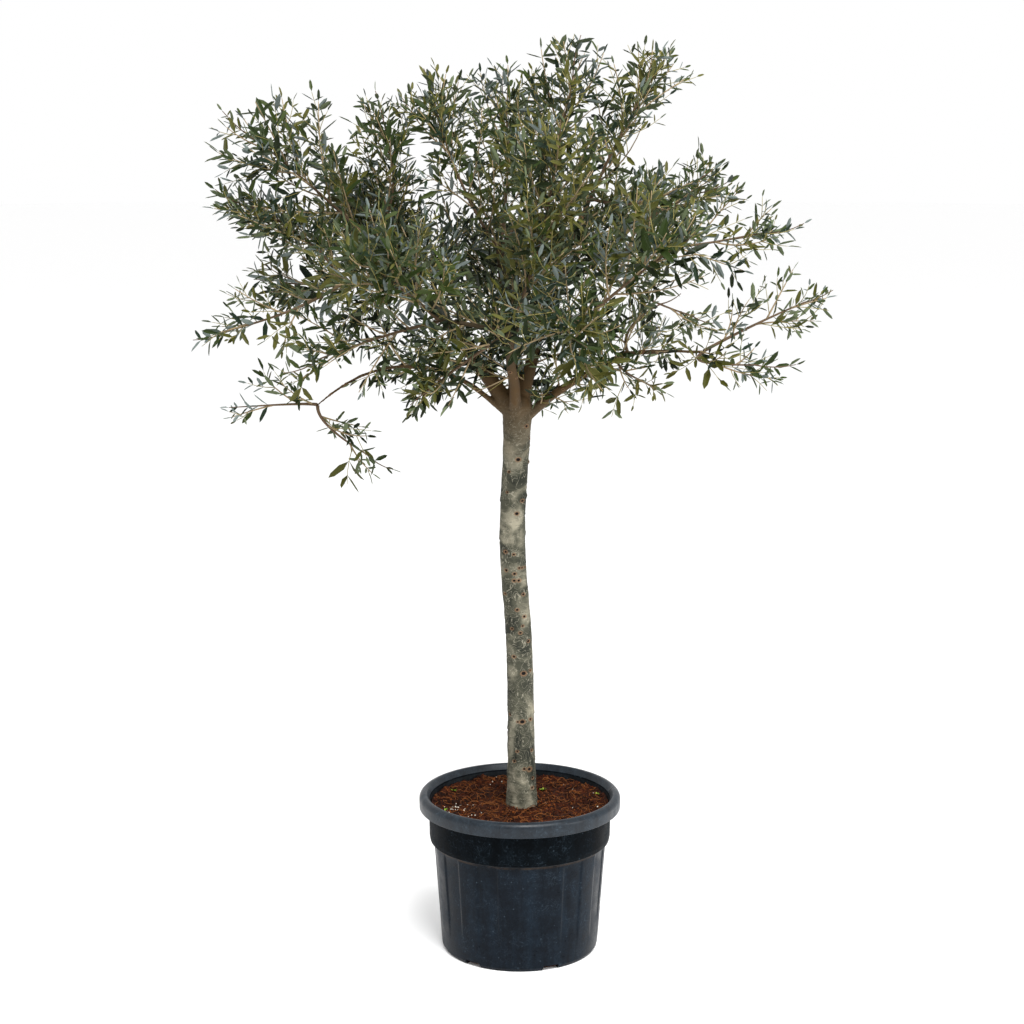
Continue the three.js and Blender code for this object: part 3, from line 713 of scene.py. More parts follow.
CLEARINGS = (
    Clearing(392, 1546, 82, 46),
    Clearing(314, 1903, 77, 36),
    Clearing(-699, 1682, 68, 50),
    Clearing(-364, 1325, 74, 28),
    Clearing(-716, 1568, 41, 36),
    Clearing(-118, 1292, 74, 42),
    Clearing(288, 1302, 51, 32),
    Clearing(518, 1302, 138, 41),
    Clearing(-386, 1408, 41, 32),
    Clearing(-38, 1330, 46, 54, shallow=True),
)


def around(turn: float, reach: float, height: float) -> np.ndarray:
    """A place given by its direction round the trunk in degrees, its distance from it and its height."""
    angle = math.radians(turn)
    return np.array([reach * math.cos(angle), reach * math.sin(angle), height])


@dataclass(frozen=True)
class Curve:
    """A bent line from start to end, pulled towards a third point."""

    start: np.ndarray
    bend: np.ndarray
    end: np.ndarray

    def points(self, share: np.ndarray) -> np.ndarray:
        """The points at shares of the way, one a row."""
        t = np.asarray(share)[:, None]
        return (1 - t) ** 2 * self.start + 2 * t * (1 - t) * self.bend + t**2 * self.end

    def heading(self, share: float) -> np.ndarray:
        """The direction of the line at a share of the way."""
        return unit((1 - share) * (self.bend - self.start) + share * (self.end - self.bend))

    def length(self) -> float:
        """The line's length."""
        path = self.points(np.linspace(0, 1, 17))
        return float(np.linalg.norm(np.diff(path, axis=0), axis=1).sum())


@dataclass(frozen=True)
class Trunk:
    """The trunk's sizes in millimetres: its radius and axis at any share of its height."""

    foot: float = 350.3
    head: float = 1305.0
    radius: float = 29.0
    taper: float = 3.5
    flare: float = 6.0
    flare_height: float = 70.0
    swell: float = 8.0
    swell_height: float = 60.0
    lean: float = -9.6
    foot_offset: float = 4.6
    bow: float = -16.0
    bow_at: float = 0.68
    bow_spread: float = 0.2
    depth_lean: float = 7.0

    def axis(self, share: float) -> np.ndarray:
        """Finds the middle of the trunk.

        Args:
            share: 0 at the soil and 1 at the head.

        Returns:
            The point.
        """
        bow = self.bow * math.exp(-(((share - self.bow_at) / self.bow_spread) ** 2))
        height = self.foot + (self.head - self.foot) * share
        side = self.depth_lean * math.sin(0.5 * math.pi * share)
        return np.array([self.foot_offset + self.lean * share + bow, side, height])

    def radius_at(self, share: float) -> float:
        """Works out how thick the trunk is.

        Args:
            share: 0 at the soil and 1 at the head.

        Returns:
            The radius.
        """
        rise = (self.head - self.foot) * share
        drop = (self.head - self.foot) * (1 - share)
        flare = self.flare * math.exp(-rise / self.flare_height)
        swell = self.swell * math.exp(-drop / self.swell_height)
        return self.radius + self.taper * (1 - share) + flare + swell


@dataclass
class Skeleton:
    """Where the trunk, the boughs and the stems of the masses run, in millimetres."""

    trunk: Trunk = field(default_factory=Trunk)
    limbs: dict[str, Curve] = field(default_factory=dict)

    def __post_init__(self) -> None:
        """Routes every bough from the one that it leaves."""
        radii = {bough.name: bough.radii for bough in BOUGHS}
        for bough in BOUGHS:
            parent = self.limbs.get(bough.of)
            end = around(*bough.tip)
            if parent:
                start = self.fork(parent, end, radii[bough.of][1])
            else:
                start = self.trunk.axis(1 - bough.below / (self.trunk.head - self.trunk.foot))
            bend = 0.5 * (start + end) + UP * bough.rise
            self.limbs[bough.name] = Curve(start, bend, end)

    @staticmethod
    def fork(parent: Curve, towards: np.ndarray, tip_radius: float) -> np.ndarray:
        """Where a limb leaves the tip of another: a little to the side that it turns to.

        Args:
            parent: The limb that it leaves.
            towards: The point that it heads for.
            tip_radius: The radius of the parent's tip.

        Returns:
            Its first point.
        """
        heading = parent.heading(1.0)
        outward = towards - parent.end
        sideways = unit(outward - heading * outward.dot(heading))
        return parent.end + sideways * ASIDE * tip_radius


@dataclass
class Space:
    """The space that a mass keeps to, and its stem."""

    mass: Mass
    axis: np.ndarray
    centre: np.ndarray
    stem: Curve

    @staticmethod
    def of(mass: Mass, skeleton: Skeleton, stem_ends: float = 0.72) -> "Space":
        """Works out a mass's spindle and the course of its stem.

        Args:
            mass: The mass.
            skeleton: Where the boughs run.
            stem_ends: The share of the spindle that the stem climbs.

        Returns:
            The space.
        """
        tip = around(*mass.tip)
        heading = mass.tip[0] if mass.heading is None else mass.heading
        pitch = math.radians(mass.pitch)
        axis = around(heading, math.cos(pitch), math.sin(pitch))
        centre = tip - axis * mass.length / 2
        bough = skeleton.limbs[mass.of]
        tip_radius = next(b.radii[1] for b in BOUGHS if b.name == mass.of)
        start = skeleton.fork(bough, centre, tip_radius)
        bend = centre - axis * STEM_BEND * mass.length
        stem = Curve(start, bend, tip - axis * (1 - stem_ends) * mass.length)
        return Space(mass, axis, centre, stem)

    def depth(self, points: np.ndarray) -> np.ndarray:
        """Works out how deep points lie in the spindle.

        Args:
            points: Points in millimetres, one a row.

        Returns:
            0 for a point at the middle of the spindle and 1 for one on its skin.
        """
        offset = points - self.centre
        along = offset @ self.axis
        aside = np.linalg.norm(offset - np.outer(along, self.axis), axis=1)
        return np.hypot(along / (self.mass.length / 2), aside / self.mass.girth)


# ---- Wood ----


@dataclass(frozen=True)
class Scar:
    """Where a twig was shed or cut: a stained lip round a dark pit, or a round knob if it has no pit."""

    place: np.ndarray
    size: float
    lip: float
    pit: float
    stain: float = 0.3

    def relief(self, points: np.ndarray) -> tuple[np.ndarray, np.ndarray, np.ndarray]:
        """What the scar does to the bark round it.

        Args:
            points: Points of the bark in millimetres, one a row.

        Returns:
            Which points it touches, how far it lifts those, and how dark it makes them.
        """
        away = np.linalg.norm((points - self.place) * (1.0, 1.0, 1.35), axis=1) / self.size  # wider than high
        near = away < 3.0
        away = away[near]
        if self.pit:
            rim, hole = np.exp(-(((away - 1.0) / 0.38) ** 2)), np.exp(-((away / 0.7) ** 2))
        else:
            rim, hole = np.exp(-((away / 0.75) ** 2)), np.zeros(len(away))
        return near, self.lip * rim - self.pit * hole, np.maximum(self.stain * rim, hole)


@dataclass
class Wood:
    """The trunk and boughs as one mesh, grown together at the forks, with the bark's relief; millimetres."""

    skeleton: Skeleton
    finish: OliveBark = field(default_factory=OliveBark)
    voxel: float = 2.45
    sides: int = 20
    trunk_steps: int = 41
    bough_steps: int = 15
    smoothings: int = 4
    dome: tuple[tuple[float, float], ...] = ((0.55, 0.8), (0.9, 0.4))  # a tip's rings: how far on, how wide
    buried: float = 9.0  # how far the trunk's foot reaches into the compost
    knots: int = 34  # on the side turned away; those in front have their own places
    knobs: int = 6
    creases: int = 44
    seed: int = 11
    collar: float = 32.0  # how far along a bough the swelling at its foot fades
    sway: float = 7.0  # how far the boughs stray from their line
    swelling: tuple[float, float] = (34.0, 1.4)  # the size of the bark's soft lumps, and how far they lift it
    wrinkle: tuple[float, float] = (5.2, 0.28)  # of the wrinkles across the grain
    wrinkle_stretch: Place = (0.28, 0.28, 1.0)
    roughness: tuple[float, float] = (3.6, 0.16)  # of the fine grain
    trunk_reach: float = 70.0  # nearer to the middle than this, what lies below the trunk's head is trunk
    calm: float = 0.45  # how much of this the thinner boughs have
    front_knots: tuple[tuple[int, int, int], ...] = (  # height, degrees round the trunk, and size
        (397, 315, 6), (415, 203, 5), (420, 320, 6), (443, 305, 8), (445, 282, 6), (463, 239, 6),
        (488, 253, 5), (488, 319, 5), (560, 256, 5), (560, 276, 10), (564, 316, 6), (575, 217, 6),
        (677, 286, 10), (682, 320, 5), (717, 244, 6), (753, 317, 7), (775, 279, 6), (784, 241, 5),
        (791, 292, 5), (813, 303, 6), (830, 272, 6), (866, 216, 5), (866, 307, 6), (900, 269, 6),
        (900, 290, 6), (916, 273, 6), (923, 234, 7), (929, 297, 5), (929, 313, 5), (929, 333, 5),
        (962, 275, 5), (967, 236, 6), (1058, 289, 8), (1087, 315, 7), (1108, 239, 5), (1156, 243, 5),
        (1177, 343, 5), (1185, 281, 9), (1231, 346, 5), (1262, 311, 7),
    )  # fmt: skip

    def grow_limb(self, bm: bmesh.types.BMesh, path: np.ndarray, radii: np.ndarray) -> None:
        """Extrudes a round face along a path into a closed limb with a domed tip.

        Args:
            bm: The mesh to add it to.
            path: The limb's middle line.
            radii: Its radius at each point of the path.
        """
        ahead = unit(path[-1] - path[-2])
        path = np.vstack([path, *(path[-1] + ahead * far * radii[-1] for far, _ in self.dome)])
        radii = np.append(radii, [wide * radii[-1] for _, wide in self.dome])
        headings = unit(np.gradient(path, axis=0))
        frames = []
        for point, heading, radius in zip(path, headings, radii):
            turn = Vector(UP).rotation_difference(Vector(heading)).to_matrix().to_4x4()
            frames.append(Matrix.Translation(Vector(point) * MM) @ turn @ Matrix.Scale(radius * MM, 4))
        ring = bmesh.ops.create_circle(bm, cap_ends=True, segments=self.sides, radius=1.0, matrix=frames[0])
        face = ring["verts"][0].link_faces[0]
        for before, after in zip(frames, frames[1:]):
            made = bmesh.ops.extrude_face_region(bm, geom=[face])["geom"]
            face = next(item for item in made if isinstance(item, bmesh.types.BMFace))
            bmesh.ops.transform(bm, matrix=after @ before.inverted(), verts=face.verts[:])

    def rough_mesh(self) -> bpy.types.Mesh:
        """Makes every limb as its own closed tube.

        Returns:
            One mesh of tubes that run into each other.
        """
        bm = bmesh.new()
        trunk = self.skeleton.trunk
        shares = np.linspace(0.0, 1.0, self.trunk_steps)
        path = np.array([trunk.axis(share) for share in shares])
        path[0, 2] -= self.buried
        self.grow_limb(bm, path, np.array([trunk.radius_at(share) for share in shares]))
        for bough in BOUGHS:
            shares = np.linspace(0.0, 1.0, self.bough_steps)
            path = self.skeleton.limbs[bough.name].points(shares)
            radii = np.interp(shares, [0.0, 1.0], bough.radii)
            if bough.of == "trunk":
                distances = shares * self.skeleton.limbs[bough.name].length()
                radii = radii + 0.5 * bough.radii[0] * np.exp(-distances / self.collar)
            self.grow_limb(bm, self.wander(path, bough), radii)
        bmesh.ops.recalc_face_normals(bm, faces=bm.faces)
        return mesh_of(bm, "wood_rough")

    def wander(self, path: np.ndarray, bough: Bough) -> np.ndarray:
        """Gives a bough the slight crookedness of grown wood, with both ends kept.

        Args:
            path: Its middle line.
            bough: The bough, whose reach varies the bends.

        Returns:
            The crooked line.
        """
        shares = np.linspace(0.0, 1.0, len(path))
        hold = np.sin(np.pi * shares)[:, None]
        offset = [value_noise(point * MM + bough.tip[1], 90.0) for point in path]
        other = [value_noise(point * MM - bough.tip[1], 75.0) for point in path]
        heading = unit(path[-1] - path[0])
        bends = np.outer(offset, across(heading, 0.4)) + np.outer(other, across(heading, 1.97))
        return path + hold * bends * self.sway

    def fused(self) -> bpy.types.Mesh:
        """Grows the limbs together by a voxel remesh and smooths the joins.

        Returns:
            The mesh, in one piece.
        """
        source = placed("wood_rough", self.rough_mesh())
        remesh = source.modifiers.new("fuse", "REMESH")
        remesh.mode = "VOXEL"
        remesh.voxel_size = self.voxel * MM
        bm = applied(source)
        every_way = {"use_axis_x": True, "use_axis_y": True, "use_axis_z": True}
        for _ in range(self.smoothings):
            bmesh.ops.smooth_vert(bm, verts=bm.verts, factor=0.5, **every_way)
        return mesh_of(bm, "wood")

    def scars(self) -> list[Scar]:
        """Deals out knots and knobs over the trunk, and fewer over the boughs.

        Returns:
            All the scars.
        """
        draw = np.random.default_rng(self.seed)
        trunk = self.skeleton.trunk
        rise = trunk.head - trunk.foot
        marks = [((height - trunk.foot) / rise, turn, size) for height, turn, size in self.front_knots]
        for _ in range(self.knots):
            marks.append((draw.uniform(0.03, 0.98), draw.uniform(0, 180), draw.uniform(4.5, 8.5)))
        found = []
        for share, turn, size in marks:
            place = trunk.axis(share) + around(turn, trunk.radius_at(share), 0.0)
            lip, pit, stain = (draw.uniform(*span) for span in ((0.8, 1.6), (1.2, 2.0), (0.05, 0.34)))
            found.append(Scar(place, size, lip, pit, stain))
        for _ in range(self.knobs):
            share = draw.uniform(0.5, 0.985)
            place = trunk.axis(share) + around(draw.uniform(0, 360), trunk.radius_at(share), 0.0)
            found.append(Scar(place, draw.uniform(7.5, 11.5), draw.uniform(2.0, 3.4), 0.0, 0.15))
        for bough in BOUGHS:
            curve = self.skeleton.limbs[bough.name]
            for _ in range(2 + int(curve.length() / 70)):
                share = draw.uniform(0.1, 0.95)
                radius = np.interp(share, [0.0, 1.0], bough.radii)
                outward = across(curve.heading(share), draw.uniform(0, 2 * math.pi))
                place = curve.points([share])[0] + outward * radius
                found.append(Scar(place, draw.uniform(3.0, 5.0), draw.uniform(0.6, 1.3), 0.8))
        return found

    def relief(self, mesh: bpy.types.Mesh) -> None:
        """Raises and sinks the bark: soft swellings, wrinkles across the grain, creases, knots and knobs.

        Args:
            mesh: The fused wood, which gets a "scar" attribute for its finish.
        """
        count = len(mesh.vertices)
        points, normals = np.empty((count, 3)), np.empty((count, 3))
        mesh.vertices.foreach_get("co", points.ravel())
        mesh.vertices.foreach_get("normal", normals.ravel())
        away = np.hypot(points[:, 0], points[:, 1])
        on_trunk = (points[:, 2] < self.skeleton.trunk.head * MM) & (away < self.trunk_reach * MM)
        lift = np.empty(count)
        for index, point in enumerate(points):
            swell = value_noise(point, self.swelling[0]) * self.swelling[1]
            wrinkle = value_noise(point * self.wrinkle_stretch, self.wrinkle[0]) * self.wrinkle[1]
            rough = value_noise(point + 5.0, self.roughness[0]) * self.roughness[1]  # 5 m on, another noise
            lift[index] = swell + wrinkle + rough
        lift *= np.where(on_trunk, 1.0, self.calm)
        lift += self.crease_depths(points) * on_trunk
        scar = np.zeros(count)
        for mark in self.scars():
            near, lifted, dark = mark.relief(points / MM)
            lift[near] += lifted
            scar[near] = np.maximum(scar[near], dark)
        mesh.vertices.foreach_set("co", (points + normals * (lift * MM)[:, None]).ravel())
        mesh.attributes.new("scar", "FLOAT", "POINT").data.foreach_set("value", scar.astype(np.float32))
        mesh.update()

    def crease_depths(self, points: np.ndarray) -> np.ndarray:
        """Lays creases part of the way round the trunk.

        Args:
            points: Points of the bark in metres, one a row.

        Returns:
            How far each point is lifted, in millimetres, and less than 0 in a crease.
        """
        draw = np.random.default_rng(self.seed + 1)
        height = points[:, 2] / MM
        angle = np.arctan2(points[:, 1], points[:, 0])
        depth = np.zeros(len(points))
        for _ in range(self.creases):
            level = draw.uniform(self.skeleton.trunk.foot, self.skeleton.trunk.head)
            middle, spread = draw.uniform(-math.pi, math.pi), draw.uniform(0.5, 1.2)
            apart = np.abs((angle - middle + math.pi) % (2 * math.pi) - math.pi)
            waver = level + 2.5 * np.sin(3 * angle + middle)
            fade = np.cos(0.5 * math.pi * np.minimum(apart / spread, 1.0))
            depth -= draw.uniform(0.7, 1.7) * np.exp(-(((height - waver) / 1.9) ** 2)) * fade
            depth += draw.uniform(0.4, 1.0) * np.exp(-(((height - waver - 4.5) / 2.4) ** 2)) * fade
        return depth

    def build(self) -> None:
        """Makes the wood and dresses it."""
        mesh = self.fused()
        self.relief(mesh)
        finished("bark", mesh, [self.finish.build()], ["trunk", *(bough.name for bough in BOUGHS)])


# ---- Foliage ----


class Order(Enum):
    """The orders of shoots: their radii at both ends in millimetres, leafless share at the foot, sides."""

    STEM = ((4.2, 0.9), 0.45, 7)
    TWIG = ((2.3, 0.9), 0.25, 5)
    SIDE_SHOOT = ((1.2, 0.6), 0.15, 3)

    def __init__(self, radii: tuple[float, float], bare: float, sides: int) -> None:
        """Names the values of an order.

        Args:
            radii: The radius at the foot and at the tip.
            bare: The share at the foot that bears no leaves.
            sides: How many sides its tube has.
        """
        self.radii = radii
        self.bare = bare
        self.sides = sides


@dataclass(frozen=True)
class Shoot:
    """A shoot: its middle line in millimetres, its order, and its leaves' tone."""

    path: np.ndarray
    order: Order
    tone: int


@dataclass(frozen=True)
class LeafShape:
    """An olive leaf in millimetres: a narrow blade on a short stalk, keeled along its rib."""

    length: float = 50.0
    width: float = 13.0
    thickness: float = 0.7
    keel: float = 0.3  # how far its halves fold up, for each unit of half width
    stations: tuple[tuple[float, float], ...] = ((0.08, 0.13), (0.36, 0.97), (0.8, 0.74))

    def corners(self) -> np.ndarray:
        """Lists one leaf's corners, as shares of its length, half width and thickness.

        Returns:
            The foot, the tip, then four corners for each station.
        """
        rows = [(0.0, 0.0, 0.0), (1.0, 0.0, 0.0)]
        for share, half in self.stations:
            rows += [(share, half, 0.0), (share, -half, 0.0), (share, 0.0, 0.0), (share, 0.0, -1.0)]
        return np.array(rows)

    def triangles(self) -> tuple[np.ndarray, np.ndarray]:
        """Lists one leaf's triangles.

        Returns:
            The triangles, and for each 1 on the underside and 0 on the upper side.
        """
        upper, under = [], []
        for number in range(len(self.stations) + 1):
            left, right, top, low = (4 * number + 2 + k for k in range(4))
            left_back, right_back, top_back, low_back = (4 * number - 2 + k for k in range(4))
            if number == 0:
                upper += [(0, top, left), (0, right, top)]
                under += [(0, left, low), (0, low, right)]
            elif number == len(self.stations):
                upper += [(top_back, 1, left_back), (right_back, 1, top_back)]
                under += [(low_back, left_back, 1), (right_back, low_back, 1)]
            else:
                upper += [(top_back, top, left), (top_back, left, left_back)]
                upper += [(right_back, right, top), (right_back, top, top_back)]
                under += [(low_back, left, low), (low_back, left_back, left)]
                under += [(right_back, low, right), (right_back, low_back, low)]
        return np.array(upper + under), np.array([0] * len(upper) + [1] * len(under))


class Region(Enum):
    """The parts of the crown that its leaves are joined by."""

    LEFT = "left"
    RIGHT = "right"
    TOP = "top"
    FRONT = "front"
    BACK = "back"

    @staticmethod
    def of(name: str) -> "Region":
        """The region that a mass or a bough belongs to, by the second word of its name.

        Args:
            name: The name of the mass or bough.

        Returns:
            The region.
        """
        other = {"droop": Region.FRONT, "hanging": Region.LEFT, "leader": Region.TOP}
        word = name.split("_")[1]
        return other[word] if word in other else Region(word)


@dataclass
class Crown:
    """All that the boughs bear, in millimetres: each mass's stem, its twigs, side shoots and leaves."""

    skeleton: Skeleton
    leaf: LeafShape = field(default_factory=LeafShape)
    twig_spacing: float = 15.0
    shoot_spacing: float = 22.0
    pair_spacing: float = 26.0
    longest_twig: float = 240.0
    longest_shoot: float = 120.0
    opening: tuple[float, float] = (56.0, 28.0)
    upward: float = 0.25
    leaf_angles: tuple[float, float] = (34.0, 70.0)
    tip_angles: tuple[float, float] = (0.0, 14.0)
    roll: float = 55.0
    vigours: tuple[float, ...] = (0.68, 0.82, 0.95, 1.1, 1.4)  # what a shoot's leaves are enlarged by
    vigour_odds: tuple[float, ...] = (0.24, 0.3, 0.26, 0.14, 0.06)
    shares_tried: tuple[float, ...] = (1.0, 0.85, 0.7, 0.55, 0.4, 0.25)  # of a shoot's length, to find room
    shortest_shoot: float = 18.0
    inner_lengths: tuple[float, ...] = (190.0, 150.0, 110.0, 70.0)
    inner_spacing: float = 34.0  # between the leafy twigs on the boughs themselves
    drooping_below: float = 1400.0  # lower than this they hang
    heart: tuple[float, float, float] = (-40.0, -10.0, 1605.0)  # the middle of the crown, which they fill
    heart_reach: tuple[float, float, float] = (430.0, 400.0, 295.0)
    # the upper sides' greens; the last ones are painted shade for the inside of the crown
    upper_tones: tuple[str, ...] = (
        "#17200a", "#212d0e", "#2e3915", "#3b3c13", "#4a4a20", "#1c291c", "#111808", "#161f11",
    )  # fmt: skip
    painted_shade_tones: int = 2  # the last ones of those: deep greens, painted shade for most sprays inside the crown
    under_tones: tuple[str, ...] = ("#576047", "#475039", "#666f6b")
    beside_bough: float = 85.0  # how far from a bough its own leaves may stand
    overhang: float = 28.0  # how far past the box of the solids a leaf may reach

    def __post_init__(self) -> None:
        """Lays out the space of every mass."""
        self.spaces = [Space.of(mass, self.skeleton) for mass in MASSES]
        shares = np.linspace(0.12, 1.0, 12)
        self.bough_points = np.vstack([curve.points(shares) for curve in self.skeleton.limbs.values()])

    def depths(self, points: np.ndarray) -> np.ndarray:
        """How deep points lie in every mass, one row a mass."""
        return np.stack([space.depth(points) for space in self.spaces])

    def reach(self, own: int, start: np.ndarray, heading: np.ndarray, wanted: float) -> float:
        """How long a straight shoot may be before it leaves its mass.

        Args:
            own: The number of its mass.
            start: Its foot.
            heading: Its direction.
            wanted: The length that it would have with room.

        Returns:
            Its length, or 0 where there is no room.
        """
        room = 0.45 * self.leaf.length
        shares = np.array(self.shares_tried)
        tips = start + heading * (shares * wanted + room)[:, None]
        middles = start + heading * (0.6 * shares * wanted)[:, None]
        fits = np.ones(len(shares), dtype=bool)
        for points in (tips, middles):
            depths = self.depths(points)
            fits &= (depths[own] < 1.0) & (depths[own] < depths.min(axis=0) + 0.12) & self.in_leaf(points)
        return float(wanted * shares[fits.argmax()]) if fits.any() else 0.0

    def bent(
        self, start: np.ndarray, heading: np.ndarray, length: float, draw: np.random.Generator, steps: int
    ) -> np.ndarray:
        """Draws the middle line of a shoot, which bends a little out of its way and turns up at its tip.

        Args:
            start: Its foot.
            heading: Its direction.
            length: Its length.
            draw: The random draws of its mass.
            steps: How many points the line has.

        Returns:
            The line.
        """
        end = start + heading * length
        side = across(heading, draw.uniform(0, 2 * math.pi))
        bend = start + heading * 0.5 * length + side * 0.1 * length - UP * 0.05 * length
        return Curve(start, bend, end).points(np.linspace(0.0, 1.0, steps))

    def grow_mass(self, own: int) -> list[Shoot]:
        """Grows one mass: twigs leave its stem all round, wide open low down and closer near its tip.

        Args:
            own: The mass's number.

        Returns:
            Its shoots, the stem first.
        """
        space = self.spaces[own]
        draw = np.random.default_rng(7919 * (own + 1))
        tip_room = 0.28 * space.mass.length - 0.5 * self.leaf.length
        stem = space.stem.points(np.linspace(0.0, 1.0, 12))
        ahead = self.bent(stem[-1], space.axis, tip_room, draw, 5)[1:]
        tone = self.deal(False, draw)
        shoots = [Shoot(np.vstack([stem, ahead]), Order.STEM, tone)]
        count = max(3, round(space.mass.fullness * space.stem.length() / self.twig_spacing))
        for number in range(count):
            share = 0.14 + 0.86 * (number + 0.5 * draw.random()) / count
            start = space.stem.points([share])[0]
            along = space.stem.heading(share)
            opening = math.radians(np.interp(share, [0, 1], self.opening)) * draw.uniform(0.8, 1.2)
            side = across(along, number * GOLDEN_ANGLE + 0.6 * draw.random())
            heading = unit(along * math.cos(opening) + side * math.sin(opening) + UP * self.upward)
            length = self.reach(own, start, heading, self.longest_twig * draw.uniform(0.75, 1.0))
            if length:
                shoots += self.grow_twig(own, start, heading, length, draw)
        return shoots

    def deal(self, inside: bool, draw: np.random.Generator) -> int:
        """Deals the tone of a spray: one of the lit ones, or for most inside the crown a deep one, painted
        shade for the crown's inside.

        Args:
            inside: Whether the spray is inside the crown.
            draw: The random draws of its mass.

        Returns:
            The number of the tone.
        """
        lit = len(self.upper_tones) - self.painted_shade_tones
        # painted shade: most sprays inside the crown get one of the deep tones
        if inside and draw.random() < 0.65:
            return lit + int(draw.integers(self.painted_shade_tones))
        return int(draw.integers(lit))

    @staticmethod
    def in_leaf(points: np.ndarray) -> np.ndarray:
        """Which points lie outside every clearing, for points one a row."""
        return ~np.any([clearing.holds(points) for clearing in CLEARINGS], axis=0)

    def in_heart(self, point: np.ndarray) -> bool:
        """Whether a point is in the middle of the crown, above the fork."""
        return float(np.linalg.norm((point - self.heart) / self.heart_reach)) < 1.0

    def grow_inner(self, bough: Bough, number: int) -> list[Shoot]:
        """Grows the leafy twigs that stand on a bough itself, inside the crown.

        Args:
            bough: The bough.
            number: Its number, which seeds its random draws.

        Returns:
            The twigs with their side shoots.
        """
        draw = np.random.default_rng(6151 * (number + 1))
        curve = self.skeleton.limbs[bough.name]
        shoots = []
        for place in range(int(curve.length() / self.inner_spacing)):
            share = min(0.98, (place + 0.3 + 0.7 * draw.random()) * self.inner_spacing / curve.length())
            start = curve.points([share])[0]
            along = curve.heading(share)
            opening = math.radians(draw.uniform(40, 75))
            side = across(along, place * GOLDEN_ANGLE + draw.random())
            lift = self.upward if start[2] > self.drooping_below else -self.upward
            heading = unit(along * math.cos(opening) + side * math.sin(opening) + UP * lift)
            if self.in_heart(start):
                reaches = (wanted for wanted in self.inner_lengths if self.in_heart(start + heading * wanted))
                length = next(reaches, 50.0) * draw.uniform(0.8, 1.0)
            else:
                length = draw.uniform(40, 75) if place % 3 == 1 else 0.0
            if length and self.in_leaf((start + heading * length)[None]).all():
                shoots += self.grow_twig(None, start, heading, length, draw)
        return shoots

    def grow_twig(
        self,
        own: int | None,
        start: np.ndarray,
        heading: np.ndarray,
        length: float,
        draw: np.random.Generator,
    ) -> list[Shoot]:
        """Grows a twig and its side shoots, which leave it in opposite pairs that find room or don't.

        Args:
            own: The number of its mass, or None inside the crown.
            start: Its foot.
            heading: Its direction.
            length: Its length.
            draw: The mass's own random draws.

        Returns:
            The twig and its side shoots.
        """
        path = self.bent(start, heading, length, draw, 7)
        tone = self.deal(own is None, draw)
        shoots = [Shoot(path, Order.TWIG, tone)]
        turn = draw.uniform(0, math.pi)
        bare = 0.34 if own is None else 1.0 - 0.7 * (0.35 + 0.65 * self.spaces[own].mass.fullness)
        for number in range(int(length / self.shoot_spacing)):
            share = (number + 0.6) * self.shoot_spacing / length
            if share > 0.9:
                break
            place = point_along(path, np.linspace(0.0, 1.0, len(path)), share)
            for side in (0.0, math.pi):
                if draw.random() < bare:
                    continue
                opening = math.radians(draw.uniform(30, 52))
                out = across(heading, turn + number * 0.5 * math.pi + side)
                aim = unit(heading * math.cos(opening) + out * math.sin(opening) + UP * 0.12)
                wanted = self.longest_shoot * draw.uniform(0.55, 1.0) * (1 - 0.4 * share)
                reach = self.reach(own, place, aim, wanted) if own is not None else 0.8 * wanted
                if reach > self.shortest_shoot and self.in_leaf((place + aim * reach)[None]).all():
                    tint = tone if draw.random() < 0.6 else self.deal(own is None, draw)
                    shoots.append(Shoot(self.bent(place, aim, reach, draw, 4), Order.SIDE_SHOOT, tint))
        return shoots

    def leaves_on(self, shoot: Shoot, draw: np.random.Generator) -> np.ndarray:
        """Sets the leaves of a shoot: one at its tip, then opposite pairs, each at right angles to the last.

        Args:
            shoot: The shoot.
            draw: The random draws of its mass.

        Returns:
            A row for each leaf: its foot, direction, upper side's direction, size, curl and tone.
        """
        steps = np.linalg.norm(np.diff(shoot.path, axis=0), axis=1)
        marks = np.append(0.0, np.cumsum(steps))
        rows = []
        turn = draw.uniform(0, math.pi)
        vigour = draw.choice(self.vigours, p=self.vigour_odds)
        spacing = self.pair_spacing * (0.4 + 0.6 * vigour)
        pairs = max(1, int(marks[-1] * (1 - shoot.order.bare) / spacing))
        for pair in range(pairs + 1):
            back = 0.0 if pair == 0 else (pair - 0.4 * draw.random()) * spacing
            at = max(0.0, marks[-1] - back)
            foot = point_along(shoot.path, marks, at)
            step = min(int(np.searchsorted(marks, at, side="right")), len(steps)) - 1
            heading = unit(shoot.path[step + 1] - shoot.path[step])
            young = min(1.0, 0.62 + 0.14 * pair)
            for side in (0.0,) if pair == 0 else (0.0, math.pi):
                angle = math.radians(draw.uniform(*(self.leaf_angles if pair else self.tip_angles)))
                outward = across(heading, turn + 0.5 * math.pi * pair + side + draw.uniform(-0.35, 0.35))
                droop = UP * draw.uniform(-0.05, 0.16)
                direction = unit(heading * math.cos(angle) + outward * math.sin(angle) - droop)
                facing = 0.65 * heading + 0.55 * UP + 0.25 * draw.normal(size=3)
                facing = unit(facing - direction * facing.dot(direction))
                roll = math.radians(draw.uniform(-self.roll, self.roll))
                facing = facing * math.cos(roll) + np.cross(direction, facing) * math.sin(roll)
                size = young * vigour * draw.uniform(0.8, 1.12)
                rows.append([*foot, *direction, *facing, size, draw.uniform(-0.16, 0.12), shoot.tone])
        return np.array(rows)

